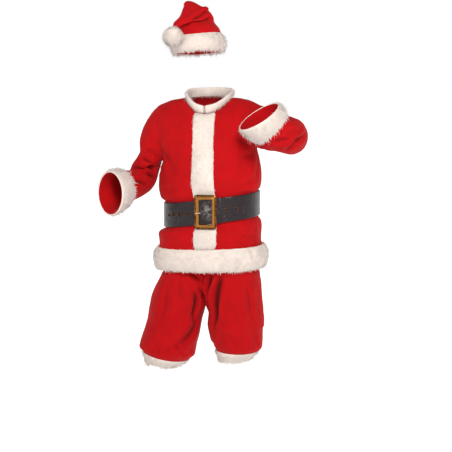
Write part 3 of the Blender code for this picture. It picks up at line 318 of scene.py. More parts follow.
def polyester_plush(cloth):
    """Knitted polyester plush: matte red that lightens at grazing angles, with brushed patches of pile."""
    material, tree, shader, place = start_material("polyester plush")
    # Brushed patches are about 45 mm across.
    patches = add_node(tree, "ShaderNodeTexNoise", None, {"Vector": place, "Scale": 22.0, "Detail": 3.0})
    # Pile tufts of 0.8 mm are drawn 2 mm across, because finer ones don't show.
    pile = add_node(tree, "ShaderNodeTexNoise", None, {"Vector": place, "Scale": 500.0, "Detail": 2.0})
    spread = add_node(tree, "ShaderNodeMapRange", None, {
        "Value": patches.outputs["Fac"], "From Min": 0.35, "From Max": 0.65, "To Min": 0.0, "To Max": 0.6,
    })
    brushed = add_node(tree, "ShaderNodeMix", {"data_type": "RGBA"}, {
        0: spread.outputs["Result"], 6: (*cloth.colour, 1.0), 7: (*cloth.shade, 1.0),
    })
    speckle = add_node(tree, "ShaderNodeMapRange", None, {
        "Value": pile.outputs["Fac"], "From Min": 0.3, "From Max": 0.7, "To Min": 0.90, "To Max": 1.08,
    })
    speckled = add_node(tree, "ShaderNodeMix", {"data_type": "RGBA", "blend_type": "MULTIPLY"}, {
        0: 1.0, 6: brushed.outputs[2], 7: speckle.outputs["Result"],
    })
    # Painted shade: the plush is darkened in the depth of a fold, by how deep its trough is.
    crease_shade = add_node(tree, "ShaderNodeAttribute", {"attribute_name": "crease_shade"})
    crease_shaded = add_node(tree, "ShaderNodeMix", {"data_type": "RGBA"}, {
        0: crease_shade.outputs["Fac"], 6: speckled.outputs[2], 7: (*linear("#4A080B"), 1.0),
    })
    bump = add_node(tree, "ShaderNodeBump", None, {
        "Height": pile.outputs["Fac"], "Strength": 0.35, "Distance": 0.0008,
    })
    tree.links.new(crease_shaded.outputs[2], shader.inputs["Base Color"])
    tree.links.new(bump.outputs["Normal"], shader.inputs["Normal"])
    shader.inputs["Roughness"].default_value = 0.92
    shader.inputs["Specular IOR Level"].default_value = 0.12
    shader.inputs["Sheen Weight"].default_value = 0.12
    shader.inputs["Sheen Roughness"].default_value = 0.45
    shader.inputs["Sheen Tint"].default_value = (*linear("#FF8A80"), 1.0)
    return material


def painted_glow(shader):
    """Painted light: a faint cream glow in place of the light that the pale fibres pass on among themselves,
    which keeps the fur's shaded parts bright.
    """
    shader.inputs["Emission Color"].default_value = (*linear("#F4E8DF"), 1.0)
    shader.inputs["Emission Strength"].default_value = 0.06


def faux_fur_backing(fur):
    """Knitted backing and underfur of acrylic faux fur: warm cream, soft and matte between the tufts."""
    material, tree, shader, place = start_material("faux fur backing")
    # Underfur locks are about 5 mm across.
    locks = add_node(tree, "ShaderNodeTexNoise", None, {"Vector": place, "Scale": 200.0, "Detail": 4.0})
    tone = add_node(tree, "ShaderNodeMix", {"data_type": "RGBA"}, {
        0: locks.outputs["Fac"], 6: (*fur.root, 1.0), 7: (*fur.tip, 1.0),
    })
    bump = add_node(tree, "ShaderNodeBump", None, {
        "Height": locks.outputs["Fac"], "Strength": 0.6, "Distance": 0.002,
    })
    tree.links.new(tone.outputs[2], shader.inputs["Base Color"])
    tree.links.new(bump.outputs["Normal"], shader.inputs["Normal"])
    shader.inputs["Roughness"].default_value = 1.0
    shader.inputs["Specular IOR Level"].default_value = 0.1
    shader.inputs["Sheen Weight"].default_value = 0.5
    # Painted light: the backing glows faintly in cream.
    painted_glow(shader)
    return material


def faux_fur_pile(fur):
    """Pile of acrylic faux fur: cream tufts, paler towards their tips, with a soft sheen."""
    material, tree, shader, place = start_material("faux fur pile")
    along = add_node(tree, "ShaderNodeUVMap", {"uv_map": "tuft"})
    split = add_node(tree, "ShaderNodeSeparateXYZ", None, {"Vector": along.outputs["UV"]})
    # Painted shade: each tuft darkens towards its root, deep among the others.
    length = add_node(tree, "ShaderNodeMapRange", None, {
        "Value": split.outputs["Y"], "From Min": 0.0, "From Max": 0.7, "To Min": 0.15, "To Max": 1.0,
    })
    # Locks of tufts are about 12 mm across.
    locks = add_node(tree, "ShaderNodeTexNoise", None, {"Vector": place, "Scale": 85.0, "Detail": 3.0})
    share = add_node(tree, "ShaderNodeMath", {"operation": "MULTIPLY"}, {0: length.outputs["Result"]})
    spread = add_node(tree, "ShaderNodeMapRange", None, {
        "Value": locks.outputs["Fac"], "From Min": 0.3, "From Max": 0.6, "To Min": 0.45, "To Max": 1.0,
    })
    tree.links.new(spread.outputs["Result"], share.inputs[1])
    tone = add_node(tree, "ShaderNodeMix", {"data_type": "RGBA"}, {
        0: share.outputs["Value"], 6: (*fur.root, 1.0), 7: (*fur.tip, 1.0),
    })
    # Each tuft has its own tone.
    own = add_node(tree, "ShaderNodeMapRange", None, {
        "Value": split.outputs["X"], "To Min": 0.90, "To Max": 1.03,
    })
    toned = add_node(tree, "ShaderNodeMix", {"data_type": "RGBA", "blend_type": "MULTIPLY"}, {
        0: 1.0, 6: tone.outputs[2], 7: own.outputs["Result"],
    })
    tree.links.new(toned.outputs[2], shader.inputs["Base Color"])
    shader.inputs["Roughness"].default_value = 0.85
    shader.inputs["Specular IOR Level"].default_value = 0.2
    shader.inputs["Sheen Weight"].default_value = 0.7
    shader.inputs["Sheen Roughness"].default_value = 0.5
    # Painted light: the tufts glow faintly in cream.
    painted_glow(shader)
    return material


def soft_vinyl(belt):
    """Calendered PVC on a knit backing: near black and glossy, with fine grain and ripples, pale on their
    crests with scuffs and painted highlight, and painted highlight streaks near the buckle.
    """
    material, tree, shader, place = start_material("soft PVC vinyl")
    # Embossed grain is 1.5 mm, and the ripples, with their scuffs and painted highlight, are about 14 mm.
    grain = add_node(tree, "ShaderNodeTexVoronoi", None, {"Vector": place, "Scale": 650.0})
    ripples = add_node(tree, "ShaderNodeTexNoise", None, {
        "Vector": place, "Scale": 70.0, "Detail": 5.0, "Roughness": 0.6, "Distortion": 0.8,
    })
    # Scuffs and painted highlight: the ripples' crests are pale.
    scuffs_and_highlights = add_node(tree, "ShaderNodeMapRange", None, {
        "Value": ripples.outputs["Fac"], "From Min": 0.60, "From Max": 0.80, "To Min": 0.0, "To Max": 0.20,
    })
    # Painted highlight: pale streaks on the strap in the right half of the buckle's window, fading out over
    # 42 mm.
    away = add_node(tree, "ShaderNodeVectorMath", {"operation": "DISTANCE"}, {
        0: place, 1: (0.031, -0.164, -0.425),
    })
    bend = add_node(tree, "ShaderNodeMapRange", None, {
        "Value": away.outputs["Value"], "From Min": 0.012, "From Max": 0.042, "To Min": 0.55, "To Max": 0.0,
    })
    highlight_streaks = add_node(tree, "ShaderNodeMapRange", None, {
        "Value": ripples.outputs["Fac"], "From Min": 0.44, "From Max": 0.60, "To Min": 0.0, "To Max": 1.0,
    })
    buckle_highlight = add_node(tree, "ShaderNodeMath", {"operation": "MULTIPLY"}, {
        0: bend.outputs["Result"], 1: highlight_streaks.outputs["Result"],
    })
    pale = add_node(tree, "ShaderNodeMath", {"operation": "MAXIMUM"}, {
        0: scuffs_and_highlights.outputs["Result"], 1: buckle_highlight.outputs["Value"],
    })
    # The pale grey of the scuffs and of the painted highlights.
    tone = add_node(tree, "ShaderNodeMix", {"data_type": "RGBA"}, {
        0: pale.outputs["Value"], 6: (*belt.vinyl, 1.0), 7: (*linear("#A8A09F"), 1.0),
    })
    roughness = add_node(tree, "ShaderNodeMapRange", None, {
        "Value": ripples.outputs["Fac"], "From Min": 0.3, "From Max": 0.7, "To Min": 0.24, "To Max": 0.46,
    })
    fine = add_node(tree, "ShaderNodeBump", None, {
        "Height": grain.outputs["Distance"], "Strength": 0.25, "Distance": 0.0003,
    })
    bump = add_node(tree, "ShaderNodeBump", None, {
        "Height": ripples.outputs["Fac"], "Strength": 0.55, "Distance": 0.004,
        "Normal": fine.outputs["Normal"],
    })
    tree.links.new(tone.outputs[2], shader.inputs["Base Color"])
    tree.links.new(roughness.outputs["Result"], shader.inputs["Roughness"])
    tree.links.new(bump.outputs["Normal"], shader.inputs["Normal"])
    shader.inputs["IOR"].default_value = 1.5
    shader.inputs["Specular IOR Level"].default_value = 0.28
    shader.inputs["Coat Weight"].default_value = 0.15
    shader.inputs["Coat Roughness"].default_value = 0.2
    return material


def antique_brass(belt, name, dark, metal=None):
    """Antique brass plate on cast zinc: brown patina, rubbed to warm gold, with a fine cast unevenness."""
    material, tree, shader, place = start_material(name)
    # Rubbed patches are about 9 mm across, and the cast skin is uneven over 1.6 mm.
    rubbed = add_node(tree, "ShaderNodeTexNoise", None, {"Vector": place, "Scale": 110.0, "Detail": 4.0})
    skin = add_node(tree, "ShaderNodeTexNoise", None, {"Vector": place, "Scale": 600.0, "Detail": 2.0})
    share = add_node(tree, "ShaderNodeMapRange", None, {
        "Value": rubbed.outputs["Fac"], "From Min": 0.36, "From Max": 0.64,
        "To Min": 0.6 * dark, "To Max": dark,
    })
    tone = add_node(tree, "ShaderNodeMix", {"data_type": "RGBA"}, {
        0: share.outputs["Result"], 6: (*(metal or belt.brass), 1.0), 7: (*linear("#2E1F13"), 1.0),
    })
    roughness = add_node(tree, "ShaderNodeMapRange", None, {
        "Value": rubbed.outputs["Fac"], "From Min": 0.3, "From Max": 0.7, "To Min": 0.28, "To Max": 0.5,
    })
    bump = add_node(tree, "ShaderNodeBump", None, {
        "Height": skin.outputs["Fac"], "Strength": 0.3, "Distance": 0.0004,
    })
    tree.links.new(tone.outputs[2], shader.inputs["Base Color"])
    tree.links.new(roughness.outputs["Result"], shader.inputs["Roughness"])
    tree.links.new(bump.outputs["Normal"], shader.inputs["Normal"])
    shader.inputs["Metallic"].default_value = 1.0
    return material


def finish(name, maker, *values):
    """The material of this name, made once."""
    return bpy.data.materials.get(name) or maker(*values)


def add_piece(name, mesh, materials, nodes=()):
    """Puts a piece in the scene, on the suit's body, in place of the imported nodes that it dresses."""
    numbers = [face.material_index for face in mesh.polygons]
    mesh.materials.clear()
    for material in materials:
        mesh.materials.append(material)
    mesh.polygons.foreach_set("material_index", [min(number, len(materials) - 1) for number in numbers])
    piece = bpy.data.objects.new(name, mesh)
    bpy.context.scene.collection.objects.link(piece)
    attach(piece, BODY)
    if nodes:
        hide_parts(*nodes)
    return piece


def evaluated_mesh(mesh, *modifiers):
    """The mesh with these modifiers applied, each a name, a type and its settings."""
    holder = bpy.data.objects.new("holder", mesh)
    bpy.context.scene.collection.objects.link(holder)
    for name, kind, settings in modifiers:
        modifier = holder.modifiers.new(name, kind)
        for key, value in settings.items():
            setattr(modifier, key, value)
    bpy.context.view_layer.update()
    graph = bpy.context.evaluated_depsgraph_get()
    made = bpy.data.meshes.new_from_object(holder.evaluated_get(graph))
    bpy.data.objects.remove(holder)
    return made


def mesh_points(mesh):
    points = np.empty(len(mesh.vertices) * 3)
    mesh.vertices.foreach_get("co", points)
    return points.reshape(-1, 3)


def mesh_normals(mesh):
    normals = np.empty(len(mesh.vertices) * 3)
    mesh.vertex_normals.foreach_get("vector", normals)
    return normals.reshape(-1, 3)


def set_points(mesh, points):
    mesh.vertices.foreach_set("co", np.ascontiguousarray(points).reshape(-1))
    mesh.update()


def welded_node(name):
    """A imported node's mesh as a bmesh whose triangles share their points."""
    shape = bmesh.new()
    shape.from_mesh(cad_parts[name].data)
    bmesh.ops.remove_doubles(shape, verts=shape.verts, dist=1e-5)
    shape.normal_update()
    return shape


def outer_side(shape, middle):
    """Faces of a cloth wall that look away from the body in it, without the lining side and the rims."""
    tree = BVHTree.FromBMesh(shape)
    left = set()
    for face in shape.faces:
        facing = tree.ray_cast(face.calc_center_median() - face.normal * 2e-4, -face.normal, 1.6 * WALL)[1]
        if facing and facing.dot(face.normal) < -0.85:
            left.add(face)
    sides = []
    while left:
        waiting, side = [left.pop()], []
        while waiting:
            face = waiting.pop()
            side.append(face)
            for near in (f for edge in face.edges for f in edge.link_faces if f in left):
                if near.normal.dot(face.normal) > 0.2:
                    left.discard(near)
                    waiting.append(near)
        sides.append(side)
    sides.sort(key=lambda side: -sum(face.calc_area() for face in side))
    return max(sides[:2], key=lambda side: sum(
        face.calc_area() * face.normal.dot(face.calc_center_median() - middle(face.calc_center_median()))
        for face in side
    ))


def body_middle(point):
    return Vector((0.0, 0.0, point.z))


def joined_skin(names):
    """Outer side of several panels as one skin, joined at their seams. Each face keeps its panel's number."""
    skin = bmesh.new()
    for number, name in enumerate(names):
        shape = welded_node(name)
        low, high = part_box(name)
        centre = (Vector(low) + Vector(high)) / 2
        middle = body_middle if name.startswith("jacket") else lambda point, centre=centre: centre
        numbers = {}
        for face in outer_side(shape, middle):
            corners = []
            for vertex in face.verts:
                if vertex not in numbers:
                    numbers[vertex] = skin.verts.new(vertex.co)
                corners.append(numbers[vertex])
            skin.faces.new(corners).material_index = number
        shape.free()
    bmesh.ops.remove_doubles(skin, verts=skin.verts, dist=SEAM_REACH)
    bmesh.ops.join_triangles(
        skin, faces=skin.faces, cmp_materials=True,
        angle_face_threshold=math.radians(70), angle_shape_threshold=math.radians(100),
    )
    mesh = bpy.data.meshes.new("skin")
    skin.to_mesh(mesh)
    skin.free()
    return mesh


def rounded_skin(mesh, levels, passes=3):
    """Smooth surface through the points of a coarse skin."""
    wanted = mesh_points(mesh)
    points = wanted.copy()
    for _ in range(passes):
        fine = evaluated_mesh(mesh, ("smooth", "SUBSURF", {"levels": levels, "render_levels": levels}))
        points += 0.9 * (wanted - mesh_points(fine)[: len(points)])
        set_points(mesh, points)
    return evaluated_mesh(mesh, ("smooth", "SUBSURF", {"levels": levels, "render_levels": levels}))


def crease_height(points, crease, skin):
    """Trough along a bent line laid on the skin, with soft shoulders, fading out at its ends."""
    start, middle, end = (np.array(crease[i : i + 3]) for i in (0, 3, 6))
    half_width, depth, shoulder = crease[9:]
    t = np.linspace(0.0, 1.0, 49)[:, None]
    bend = 2 * middle - (start + end) / 2
    line = (1 - t) ** 2 * start + 2 * t * (1 - t) * bend + t**2 * end
    line = np.array([skin.find_nearest(place)[0] for place in line])
    height = np.zeros(len(points))
    reach = 4 * half_width
    low, high = line.min(axis=0) - reach, line.max(axis=0) + reach
    near = np.flatnonzero(((points > low) & (points < high)).all(axis=1))
    if not len(near):
        return height
    away = np.linalg.norm(points[near, None, :] - line[None], axis=2)
    share = t[away.argmin(axis=1), 0]
    across = away.min(axis=1) / half_width
    fade = np.clip(4 * share * (1 - share), 0.0, 1.0) ** 0.7
    trough = -np.exp(-(across**2)) + shoulder * np.exp(-((across - 1.9) ** 2) / 0.8)
    height[near] = depth * fade * trough
    return height


def gather_height(points, gather):
    """Uneven small folds that run out from a ring on which the cloth is drawn in."""
    middle, axis = np.array(gather[:3]), np.array(gather[3:6])
    reach, folds, depth = gather[6:]
    axis = axis / np.linalg.norm(axis)
    away = points - middle
    along = away @ axis
    side = np.cross(axis, (0.0, 1.0, 0.0))
    side /= np.linalg.norm(side)
    turn = np.arctan2(away @ np.cross(axis, side), away @ side)
    uneven = turn * folds + 2.1 * np.sin(3 * turn + 0.7) + 1.3 * np.sin(7 * turn + 2.0)
    size = 0.55 + 0.45 * np.sin(5 * turn + 1.1) * np.sin(2 * turn + 0.3)
    inside = (along > -0.02) & (along < 2.5 * reach) & (np.linalg.norm(away, axis=1) < 0.27)
    fade = np.exp(-np.clip(along, 0.0, None) / (0.45 * reach)) * inside
    return depth * size * fade * np.sin(uneven)


def calm_near(points, names, reach):
    """0 on the trims and the belt, rising to 1 this far from them."""
    trims = [vertex.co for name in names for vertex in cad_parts[name].data.vertices]
    finder = KDTree(len(trims))
    for number, place in enumerate(trims):
        finder.insert(place, number)
    finder.balance()
    away = np.array([finder.find(p)[2] for p in points])
    share = np.clip((away - 0.010) / reach, 0.0, 1.0)
    return share * share * (3 - 2 * share)


def seam_dip(mesh, points, depth):
    """How far each point dips because a seam is sewn there or beside it."""
    dip = np.zeros(len(points))
    panels = [set() for _ in points]
    neighbours = [set() for _ in points]
    for face in mesh.polygons:
        for vertex in face.vertices:
            panels[vertex].add(face.material_index)
            neighbours[vertex].update(face.vertices)
    for vertex, found in enumerate(panels):
        if len(found) > 1:
            dip[vertex] = depth
            for near in neighbours[vertex]:
                dip[near] = max(dip[near], 0.3 * depth)
    return dip


def fold_skin(mesh, cloth, creases, gathers, trims):
    """Lays creases, gathers, seam dips and a slight unevenness on a skin, calm under its trims, and stores
    each trough's depth for painted shade.
    """
    points, normals = mesh_points(mesh), mesh_normals(mesh)
    skin = BVHTree.FromPolygons(points.tolist(), [tuple(face.vertices) for face in mesh.polygons])
    height = sum(crease_height(points, crease, skin) for crease in creases)
    height = height + sum((gather_height(points, gather) for gather in gathers), np.zeros(len(points)))
    wave = np.array([
        noise.noise(Vector(p) * 9.0) + 0.5 * noise.noise(Vector(p) * 21.0)
        + 0.22 * noise.noise(Vector(p) * 48.0)
        for p in points
    ])
    calm = calm_near(points, trims, CALM_REACH)
    # Painted shade: how deep each trough is, so that the plush is darker there.
    depth = np.clip(-height * calm / SHADE_DEPTH - SHADE_START, 0.0, SHADE_MOST)
    mesh.attributes.new("crease_shade", "FLOAT", "POINT").data.foreach_set("value", depth.astype(np.float32))
    height = (height + WAVE_HEIGHT * wave) * cloth.crease * calm
    height -= seam_dip(mesh, points, cloth.seam)
    set_points(mesh, points + normals * height[:, None])


def smooth_step(values):
    t = np.clip(values, 0.0, 1.0)
    return t * t * (3 - 2 * t)


def peak_crown(mesh):
    """Draws the hat's folded top down on both sides of its peak, more on the side away from the pompom."""
    points = mesh_points(mesh)
    x, z = points[:, 0].copy(), points[:, 2].copy()
    high = smooth_step((z - PEAK["z"]) / PEAK["height"])
    points[:, 2] -= high * PEAK["right"] * smooth_step((x - PEAK["x"]) / 0.070)
    points[:, 2] -= high * PEAK["left"] * smooth_step((PEAK["x"] - x) / 0.022)
    points[:, 0] += PEAK["bulge"] * np.exp(-(((z - 0.335) / 0.024) ** 2)) * smooth_step((x + 0.02) / 0.04)
    set_points(mesh, points)


def cut_panels(mesh, names, cloth):
    """Cuts a skin into its panels, drawn in a little from the seams, and gives each its thickness."""
    for number, name in enumerate(names):
        shape = bmesh.new()
        shape.from_mesh(mesh)
        others = [face for face in shape.faces if face.material_index != number]
        bmesh.ops.delete(shape, geom=others, context="FACES")
        moves = {}
        for vertex in shape.verts:
            if any(edge.is_boundary for edge in vertex.link_edges):
                inward = sum((f.calc_center_median() - vertex.co for f in vertex.link_faces), Vector())
                moves[vertex] = inward.normalized() * SEAM_DRAW
        for vertex, move in moves.items():
            vertex.co += move
        for face in shape.faces:
            face.material_index = 0
        panel = bpy.data.meshes.new(name)
        shape.to_mesh(panel)
        shape.free()
        made = evaluated_mesh(panel, ("wall", "SOLIDIFY", {"thickness": cloth.thickness, "offset": -1.0}))
        made.name = "plush_" + name
        made.shade_smooth()
        made.set_sharp_from_angle(angle=math.radians(60))
        plush = finish("polyester plush", polyester_plush, cloth)
        piece = add_piece("plush_" + name, made, [plush], (name,))


def spread(points, size, seed):
    """Smooth random directions over space, so that tufts near each other lean the same way."""
    rng = np.random.default_rng(seed)
    made = np.zeros((len(points), 3))
    for _ in range(7):
        wave = rng.normal(size=3)
        wave *= 2 * math.pi / (size * np.linalg.norm(wave)) * rng.uniform(0.6, 1.5)
        made += rng.normal(size=3) * np.sin(points @ wave + rng.uniform(0, 6.3))[:, None]
    return made / math.sqrt(7)


def unit_rows(vectors):
    return vectors / np.maximum(np.linalg.norm(vectors, axis=-1, keepdims=True), 1e-9)


def cloth_tree(names):
    """Finder of the nearest cloth to a point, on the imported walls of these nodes."""
    points, faces = [], []
    for name in names:
        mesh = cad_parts[name].data
        start = len(points)
        points += [vertex.co.copy() for vertex in mesh.vertices]
        faces += [tuple(start + i for i in face.vertices) for face in mesh.polygons]
    return BVHTree.FromPolygons(points, faces)


def ring_outward(points):
    """Direction of each point of a ring away from the ring's axis."""
    centre = points.mean(axis=0)
    axis = np.linalg.eigh(np.cov((points - centre).T))[1][:, 0]
    radial = points - centre
    return unit_rows(radial - (radial @ axis)[:, None] * axis)


def fur_body(name, keep, under):
    """Underfur of a strip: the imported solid, smoothed, with this share of its height above the cloth."""
    shape = welded_node(name)
    bmesh.ops.join_triangles(
        shape, faces=shape.faces,
        angle_face_threshold=math.radians(40), angle_shape_threshold=math.radians(100),
    )
    coarse = bpy.data.meshes.new(name)
    shape.to_mesh(coarse)
    shape.free()
    mesh = evaluated_mesh(coarse, ("smooth", "SUBSURF", {"levels": 2, "render_levels": 2}))
    points = mesh_points(mesh)
    if under is None:
        if name == "hat_pompom":
            centre = (points.min(axis=0) + points.max(axis=0)) / 2
            points = centre + (points - centre) * keep
        else:
            points = points - mesh_normals(mesh) * 0.008 * (1 - keep)
    else:
        nearest = np.array([under.find_nearest(p)[0] for p in points])
        points = nearest + (points - nearest) * keep
    if name in RINGS:
        radial = ring_outward(points)
        found = [under.find_nearest(p) for p in points]
        facing = np.array([hit[1] for hit in found])
        depth = np.array([hit[3] for hit in found])
        sunk = (facing * radial).sum(axis=1) < -0.2
        points[sunk] += radial[sunk] * (depth[sunk] + WALL + RING_CLEARANCE)[:, None]
    if name == "fur_hem_band":
        # The band's lower edge is drawn up, and its sides stand out, as the full fur makes it look.
        top, bottom = points[:, 2].max(), points[:, 2].min()
        points[:, 2] += HEM_LIFT * (top - points[:, 2]) / (top - bottom)
        points[:, 0] += HEM_SHIFT + HEM_SPREAD * points[:, 0]
    if name == "fur_hat_brim":
        share = (points[:, 2] - points[:, 2].min()) / np.ptp(points[:, 2])
        beside = np.clip(0.5 - points[:, 0] / 0.2, 0.0, 1.0)
        points[:, 2] += BRIM_LIFT * (1 - share) - (BRIM_DROP + BRIM_DROP_MORE * beside) * share
    set_points(mesh, points)
    mesh.shade_smooth()
    mesh.name = name + "_backing"
    return mesh


def fur_roots(mesh, under, count_for, rng, ring):
    """Random places on the side of the underfur that looks away from the cloth, with their normals."""
    mesh.calc_loop_triangles()
    points, normals = mesh_points(mesh), mesh_normals(mesh)
    corners = np.array([t.vertices for t in mesh.loop_triangles])
    a, b, c = points[corners[:, 0]], points[corners[:, 1]], points[corners[:, 2]]
    areas = np.linalg.norm(np.cross(b - a, c - a), axis=1) / 2
    if under is not None:
        centres = (a + b + c) / 3
        height = np.array([under.find_nearest(p)[3] for p in centres])
        areas = np.where(height > 0.0015, areas, 0.0)
        if ring:
            facing = unit_rows(np.cross(b - a, c - a))
            areas = np.where((facing * ring_outward(centres)).sum(axis=1) > -0.1, areas, 0.0)
    count = int(areas.sum() / count_for)
    chosen = rng.choice(len(areas), size=count, p=areas / areas.sum())
    s, t = rng.random(count), rng.random(count)
    over = s + t > 1
    s[over], t[over] = 1 - s[over], 1 - t[over]
    weights = np.stack([1 - s - t, s, t], axis=1)[:, :, None]
    place = (points[corners[chosen]] * weights).sum(axis=1)
    normal = unit_rows((normals[corners[chosen]] * weights).sum(axis=1))
    return place, normal


def outside_cloth(points, under):
    """Which of these points lie on the outer side of the tube of cloth nearest to them."""
    facing = np.array([under.find_nearest(p)[1] for p in points])
    return (facing * ring_outward(points)).sum(axis=1) > -0.2


def lay_fur(name, body, under, comb, lean, length, spacing, fur, seed):
    """Thousands of tapered tufts on the underfur, combed one way, leaning together in locks."""
    rng = np.random.default_rng(seed)
    place, normal = fur_roots(body, under, spacing**2 / fur.density, rng, "cuff" in name)
    count = len(place)
    straight = unit_rows(np.array(comb, float))
    comb = np.broadcast_to(straight, (count, 3))
    comb = comb - normal * (comb * normal).sum(axis=1, keepdims=True)
    locks = spread(place, LOCK_WIDE, seed + 1) * 0.20 + spread(place, LOCK_FINE, seed + 2) * 0.16
    guard = rng.random((count, 1)) < GUARD_SHARE
    stray = rng.normal(size=(count, 3)) * np.where(guard, 0.42, 0.16)
    rise = normal * 0.55
    away = unit_rows(rise + comb * lean + locks + stray)
    bend = comb * lean * 0.55 + locks * 0.7 + np.array([0.0, 0.0, -0.12])
    # One tuft in eight is a long guard hair, which stands out unless it grows against the comb.
    along = np.clip(0.6 + 1.6 * away @ straight, 0.45, 1.0)[:, None]
    reach = length * rng.uniform(0.65, 1.2, size=(count, 1)) * np.where(guard, GUARD_LENGTH, 1.0) * along
    second = unit_rows(away + bend * 0.8 - normal * 0.18)
    third = unit_rows(away + bend * 1.5 - normal * 0.32)
    line = [place - normal * 0.0006]
    line.append(line[0] + away * reach * 0.38)
    line.append(line[1] + second * reach * 0.34)
    line.append(line[2] + third * reach * 0.28)
    across = unit_rows(np.cross(away, normal + rng.normal(size=(count, 3)) * 0.35))
    if "cuff" in name:
        kept = outside_cloth(line[2], under) & outside_cloth(line[3], under)
        line, across = [row[kept] for row in line], across[kept]
        away, normal, count = away[kept], normal[kept], int(kept.sum())
    half = fur.width / 2 * rng.uniform(0.7, 1.3, size=(count, 1))
    rows = [line[0] - across * half, line[0] + across * half]
    rows += [line[1] - across * half * 0.95, line[1] + across * half * 0.95]
    rows += [line[2] - across * half * 0.6, line[2] + across * half * 0.6, line[3]]
    points = np.stack(rows, axis=1).reshape(-1, 3)
    shading = unit_rows(normal * 1.0 + away * 0.30 + rng.normal(size=(count, 3)) * 0.06)
    faces = np.array([(0, 1, 3, 2), (2, 3, 5, 4)])
    starts = np.arange(count)[:, None, None] * 7
    quads = (faces[None] + starts).reshape(-1, 4)
    tips = np.array([4, 5, 6])[None] + np.arange(count)[:, None] * 7
    # Faces look out of the fur, so that a tuft seen from outside isn't lit from behind.
    corner = points[quads[0::2, 0]]
    first = np.cross(points[quads[0::2, 1]] - corner, points[quads[0::2, 3]] - corner)
    turned = (first * normal).sum(axis=1) < 0
    quads = quads.reshape(count, 2, 4)
    quads[turned] = quads[turned][:, :, ::-1]
    tips[turned] = tips[turned][:, ::-1]
    mesh = bpy.data.meshes.new(name)
    mesh.vertices.add(len(points))
    mesh.vertices.foreach_set("co", points.reshape(-1))
    loops = np.concatenate([quads.reshape(count, 8), tips], axis=1).reshape(-1)
    mesh.loops.add(len(loops))
    mesh.loops.foreach_set("vertex_index", loops.astype(np.int32))
    sizes = np.tile([4, 4, 3], count)
    mesh.polygons.add(len(sizes))
    mesh.polygons.foreach_set("loop_start", np.concatenate([[0], np.cumsum(sizes)[:-1]]).astype(np.int32))
    mesh.update(calc_edges=True)
    mesh.validate()
    heights = np.tile([0.0, 0.0, 0.38, 0.38, 0.72, 0.72, 1.0], count)
    layer = mesh.uv_layers.new(name="tuft")
    shades = np.repeat(rng.random(count), 7)
    layer.data.foreach_set("uv", np.stack([shades[loops], heights[loops]], axis=1).reshape(-1))
    mesh.shade_smooth()
    mesh.normals_split_custom_set_from_vertices([tuple(n) for n in np.repeat(shading, 7, axis=0)])
    return mesh


def add_fur(names, cloth_names):
    """Underfur and tufts of these strips, as two pieces each."""
    fur = bpy.context.scene.suit_fur
    under = cloth_tree(cloth_names)
    for name in names:
        keep, x, y, z, lean, length, spacing = FUR_TRIM[name]
        strip_under = None if name in ("hat_pompom", "fur_neckband") else under
        body = fur_body(name, keep, strip_under)
        seed = 11 + list(FUR_TRIM).index(name)
        tufts = lay_fur(name + "_pile", body, strip_under, (x, y, z), lean, length, spacing, fur, seed)
        white = finish("faux fur backing", faux_fur_backing, fur)
        backing = add_piece(name + "_backing", body, [white], (name,))
        pile = add_piece(name + "_pile", tufts, [finish("faux fur pile", faux_fur_pile, fur)])


def strap_point(angle, out):
    """Point of the strap's middle line, this far out from its inner face, and its outward direction."""
    turn = math.radians(angle)
    s, c = math.sin(turn), math.cos(turn)
    depth = STRAP["front"] if c > 0 else STRAP["back"]
    power = 2 / STRAP["power"]
    x = STRAP["half_width"] * math.copysign(abs(s) ** power, s)
    y = -depth * math.copysign(abs(c) ** power, c)
    away = np.array([x / STRAP["half_width"] ** 2, y / depth**2, 0.0])
    away /= np.linalg.norm(away)
    middle = np.array([x + STRAP["shift"], y, STRAP["z"] + STRAP["rise"] * x / STRAP["half_width"]])
    return middle + away * out, away


def strap_out(angle):
    """How far out the strap lies: its tail climbs over its sewn end at the buckle."""
    share = min(max((angle - 338) / 16, 0.0), 1.0)
    return STRAP_LAP * share * share * (3 - 2 * share)


